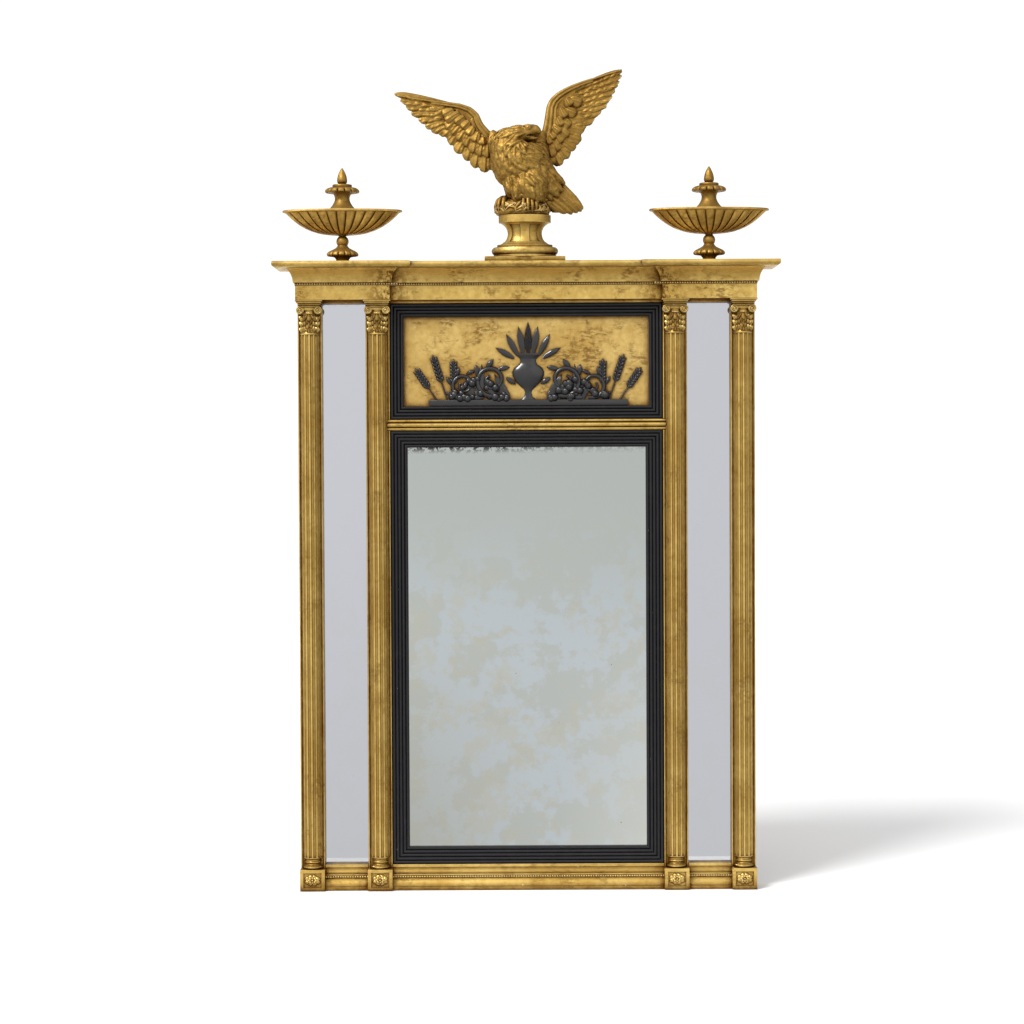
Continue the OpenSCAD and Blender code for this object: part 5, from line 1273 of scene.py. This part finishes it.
class PIER_OT_wings(bpy.types.Operator):
    """Lays the long feathers, the rows of coverts and the rolled leading edge of each wing."""

    bl_idname = "pier.wings"
    bl_label = "Eagle's Wings"

    def execute(self, context):
        quill = blade(QUILL, lambda t: 0.1 * t, 0.13, 0.05, thick=0.2)
        tongue = blade(PLUME, lambda t: 0.2 * math.sin(math.pi * t), 0.3, 0.0, across=8, thick=0.2, strand=0.06)
        rng = random.Random(11)
        for name, side in (("left", -1), ("right", 1)):
            places, tongues = [], []
            for roots, tips, wide, depth in WING_ROWS[name]:
                for k, tip in enumerate(tips):
                    root = between(roots, k / (len(tips) - 1))
                    lay = depth + 0.35 * k
                    # The outermost feathers are the narrowest
                    broad = wide * (min(1, 0.72 + 0.14 * k) if depth < 41 else 1)
                    start_at = Vector((EAGLE_X + root[0], -lay - 1, BIRD_Z + root[1])) * MM
                    end_at = Vector((EAGLE_X + tip[0], -lay, BIRD_Z + tip[1])) * MM
                    lift, rise = (20, 0.24 + 0.16 * side) if depth < 41 else (31, 0.26)
                    places.append(lying(start_at, end_at, (side * -0.22, -1, rise), broad * MM, lift * MM))
                    if k or depth > 41:
                        tongues += self.tongues(start_at, end_at, broad * MM, rng)
                    if depth < 45:
                        back = Vector((0, 4.5 * MM, 0))
                        places.append(lying(start_at + back, end_at + back, (0, 1, 0), broad * MM, 14 * MM))
            wing = join([copies(quill, places, keep=True), copies(tongue, tongues, keep=True), self.arm(name, side),
                         self.web(LEADS[name][1:], WING_ROWS[name][:2], 40.5),
                         self.web(LEADS[name][1:len(LEADS[name]) * 7 // 10], WING_ROWS[name][1:2], 47.5)])
            modify(wing, "REMESH", mode="VOXEL", voxel_size=1.0 * MM)
            modify(wing, "SMOOTH", factor=0.4, iterations=1)
            hold(wing)
            bpy.ops.object.shade_smooth_by_angle(angle=math.radians(70))
            hand_over(wing, f"carved_{name}_wing", "old_gilding", "dark_gilding", f"eagle_{name}_wing")
        bpy.data.objects.remove(quill)
        bpy.data.objects.remove(tongue)
        return {"FINISHED"}

    @staticmethod
    def tongues(start_at, end_at, broad, rng):
        """The small flame-like cuts that run along one feather."""
        along = end_at - start_at
        count = max(2, round(along.length / (15 * MM)))
        across = along.cross(Vector((0, -1, 0))).normalized()
        places = []
        for k in range(count):
            for s in (-1, 1):
                t = (k + 0.55 + 0.25 * s + rng.uniform(-0.15, 0.15)) / (count + 0.5)
                size = rng.uniform(0.85, 1.25)
                root = start_at + along * t + across * broad * 0.17 * s - Vector((0, (1.5 + 1.6 * t) * MM, 0))
                way = (along.normalized() + across * (0.16 * s + rng.uniform(-0.12, 0.12))).normalized()
                if (root + way * 21 * MM * size - start_at).dot(along) > along.length_squared * 0.97:
                    continue
                tip = root + way * 21 * MM * size - Vector((0, rng.uniform(1.3, 2.2) * MM, 0))
                places.append(lying(root, tip, (0, -1, 0.1), 6.6 * MM * size, 6.5 * MM * size))
        return places

    @staticmethod
    def web(lead, rows, depth):
        """The thin wood under the feathers, from the leading edge to well inside their tips."""
        outline = [Vector(point) for point in lead]
        for roots, tips, _, _ in rows:
            for k, tip in enumerate(tips):
                outline.append(Vector(tip).lerp(Vector(between(roots, k / (len(tips) - 1))), 0.16))
        rest()
        bpy.ops.mesh.primitive_circle_add(vertices=len(outline), radius=1, fill_type="NOTHING")
        web = bpy.context.object
        for vert, point in zip(web.data.vertices, outline):
            vert.co = Vector((EAGLE_X + point.x, -depth, BIRD_Z + point.y)) * MM
        edit(web)
        bpy.ops.mesh.select_all(action="SELECT")
        bpy.ops.mesh.edge_face_add()
        bpy.ops.mesh.extrude_region_move(TRANSFORM_OT_translate={"value": (0, 4 * MM, 0)})
        rest()
        return close_up(web)

    @staticmethod
    def arm(name, side):
        """The smooth arm of a wing: a bold roll and the low ground inside it."""
        lead = LEADS[name]
        parts = []
        # Each is: how far in from the edge, thickness at the shoulder and at the tip, depth, reach
        for inset, thick, end, depth, reach in ((5.6, 8.6, 0.2, 50.5, 1.0), (15, 6.6, 0.4, 50.5, 0.8),
                                                (25, 11, 0.4, 45.5, 0.85)):
            points = []
            for k in range(41):
                t = reach * k / 40
                here, ahead = Vector(between(lead, t)), Vector(between(lead, t + 0.02))
                way = (ahead - here).normalized() if (ahead - here).length > 0 else way
                inward = Vector((-way.y, way.x)) * -side
                place = here + inward * inset * (1 - 0.72 * t)
                points.append((EAGLE_X + place.x, depth - 5 * t, BIRD_Z + place.y, 1 - (1 - end) * t / reach))
            parts.append(stem(points, thick))
            modify(parts[-1], "SMOOTH", factor=0.5, iterations=6)
        return join(parts)


class PIER_OT_perch(bpy.types.Operator):
    """Carves the rock and the two feet that grip it."""

    bl_idname = "pier.perch"
    bl_label = "Rock and Claws"

    def execute(self, context):
        lumps = []
        for x, depth, radius, high in ROCK:
            stations = [(radius - 2, 0), (radius + 1, high * 0.2), (radius, high * 0.5), (radius - 4, high * 0.78),
                        (radius - 12, high * 0.97), (radius - 20, high)]
            lumps.append(turned(stations, EAGLE_X + x, BIRD_DEPTH + depth, PERCH_Z, 32))
        rock = join(lumps)
        modify(rock, "REMESH", mode="VOXEL", voxel_size=2.2 * MM)
        grain_map = bpy.data.textures.new("rock", "CLOUDS")
        grain_map.noise_scale = 11 * MM
        modify(rock, "DISPLACE", texture=grain_map, strength=sizes().rock_grain * 2, mid_level=0.62)
        parts = [rock]
        for x, up, turn, long, reach in TOES:
            way = math.radians(turn)
            rings = []
            for out, lift, radius, lean in ((-15, 3, 6, 0), (-7, 5, 6.6, 8), (-1, 4.4, 5.4, 32), (3.5, 1, 6.2, 55),
                                            (6.2, -5, 4.8, 74), (7.4, -9.5, 5.4, 82), (8, -14, 3.8, 92),
                                            (7.2, -19, 2.6, 102), (5.2, -25, 0.8, 112)):
                down = lift * (long / 24 if lift < 0 else 1)
                forth = out + reach
                place = Vector((EAGLE_X + x + forth * math.sin(way), -(BIRD_DEPTH - 3 + forth * math.cos(way)),
                                PERCH_Z + up + down)) * MM
                turn_by = Matrix.Rotation(way, 4, "Z") @ Matrix.Rotation(math.radians(90 + lean), 4, "X")
                rings.append(Matrix.Translation(place) @ turn_by @ Matrix.Diagonal(
                    (radius * 0.8 * MM, radius * 0.9 * MM, 1, 1)))
            toe = lofted(rings, 14)
            parts.append(modify(toe, "SUBSURF", levels=1, render_levels=1))
        # Gouge cuts have left short ridges over the rock
        rng = random.Random(3)
        for k in range(64):
            turn, up, slant = -100 + 200 * k / 63, rng.uniform(8, 33), rng.uniform(-14, 14)
            ridge = []
            for share, thick in ((-1, 0.3), (-0.4, 0.9), (0.2, 1), (1, 0.3)):
                way = math.radians(turn + slant * share)
                beyond = Vector((EAGLE_X - 4 + 60 * math.sin(way), -BIRD_DEPTH - 60 * math.cos(way),
                                 PERCH_Z + up - 7.5 * share)) * MM
                x, y, z = rock.closest_point_on_mesh(beyond)[1] / MM
                ridge.append((x, -y, z, thick))
            parts.append(stem(ridge, rng.uniform(2.4, 3.6)))
        perch = join(parts)
        hold(perch)
        bpy.ops.object.shade_smooth_by_angle(angle=math.radians(60))
        hand_over(perch, "carved_rock_and_claws", "old_gilding", "dark_gilding", "eagle_perch")
        return {"FINISHED"}


OPERATORS = (PIER_OT_stage, PIER_OT_finishes, PIER_OT_beads, PIER_OT_capitals, PIER_OT_blocks, PIER_OT_relief,
             PIER_OT_urns, PIER_OT_perch, PIER_OT_eagle, PIER_OT_wings)


class PIER_PT_panel(bpy.types.Panel):
    """The steps that make the mirror, in order."""

    bl_idname = "PIER_PT_panel"
    bl_label = "Pier Mirror"
    bl_space_type = "VIEW_3D"
    bl_region_type = "UI"
    bl_category = "Pier Mirror"

    def draw(self, context):
        for step_class in OPERATORS:
            self.layout.operator(step_class.bl_idname)
        for group in (context.scene.mirror_sizes, context.scene.mirror_colours):
            for name in group.bl_rna.properties.keys():
                if name not in ("rna_type", "name"):
                    self.layout.prop(group, name)


CLASSES = (MirrorSizes, MirrorColours) + OPERATORS + (PIER_PT_panel,)


def register():
    for made in CLASSES:
        bpy.utils.register_class(made)
    bpy.types.Scene.mirror_sizes = bpy.props.PointerProperty(type=MirrorSizes)
    bpy.types.Scene.mirror_colours = bpy.props.PointerProperty(type=MirrorColours)


def unregister():
    del bpy.types.Scene.mirror_sizes
    del bpy.types.Scene.mirror_colours
    for made in reversed(CLASSES):
        bpy.utils.unregister_class(made)


def main():
    register()
    for step_class in OPERATORS:
        group, name = step_class.bl_idname.split(".")
        getattr(getattr(bpy.ops, group), name)()


if __name__ == "__main__":
    main()
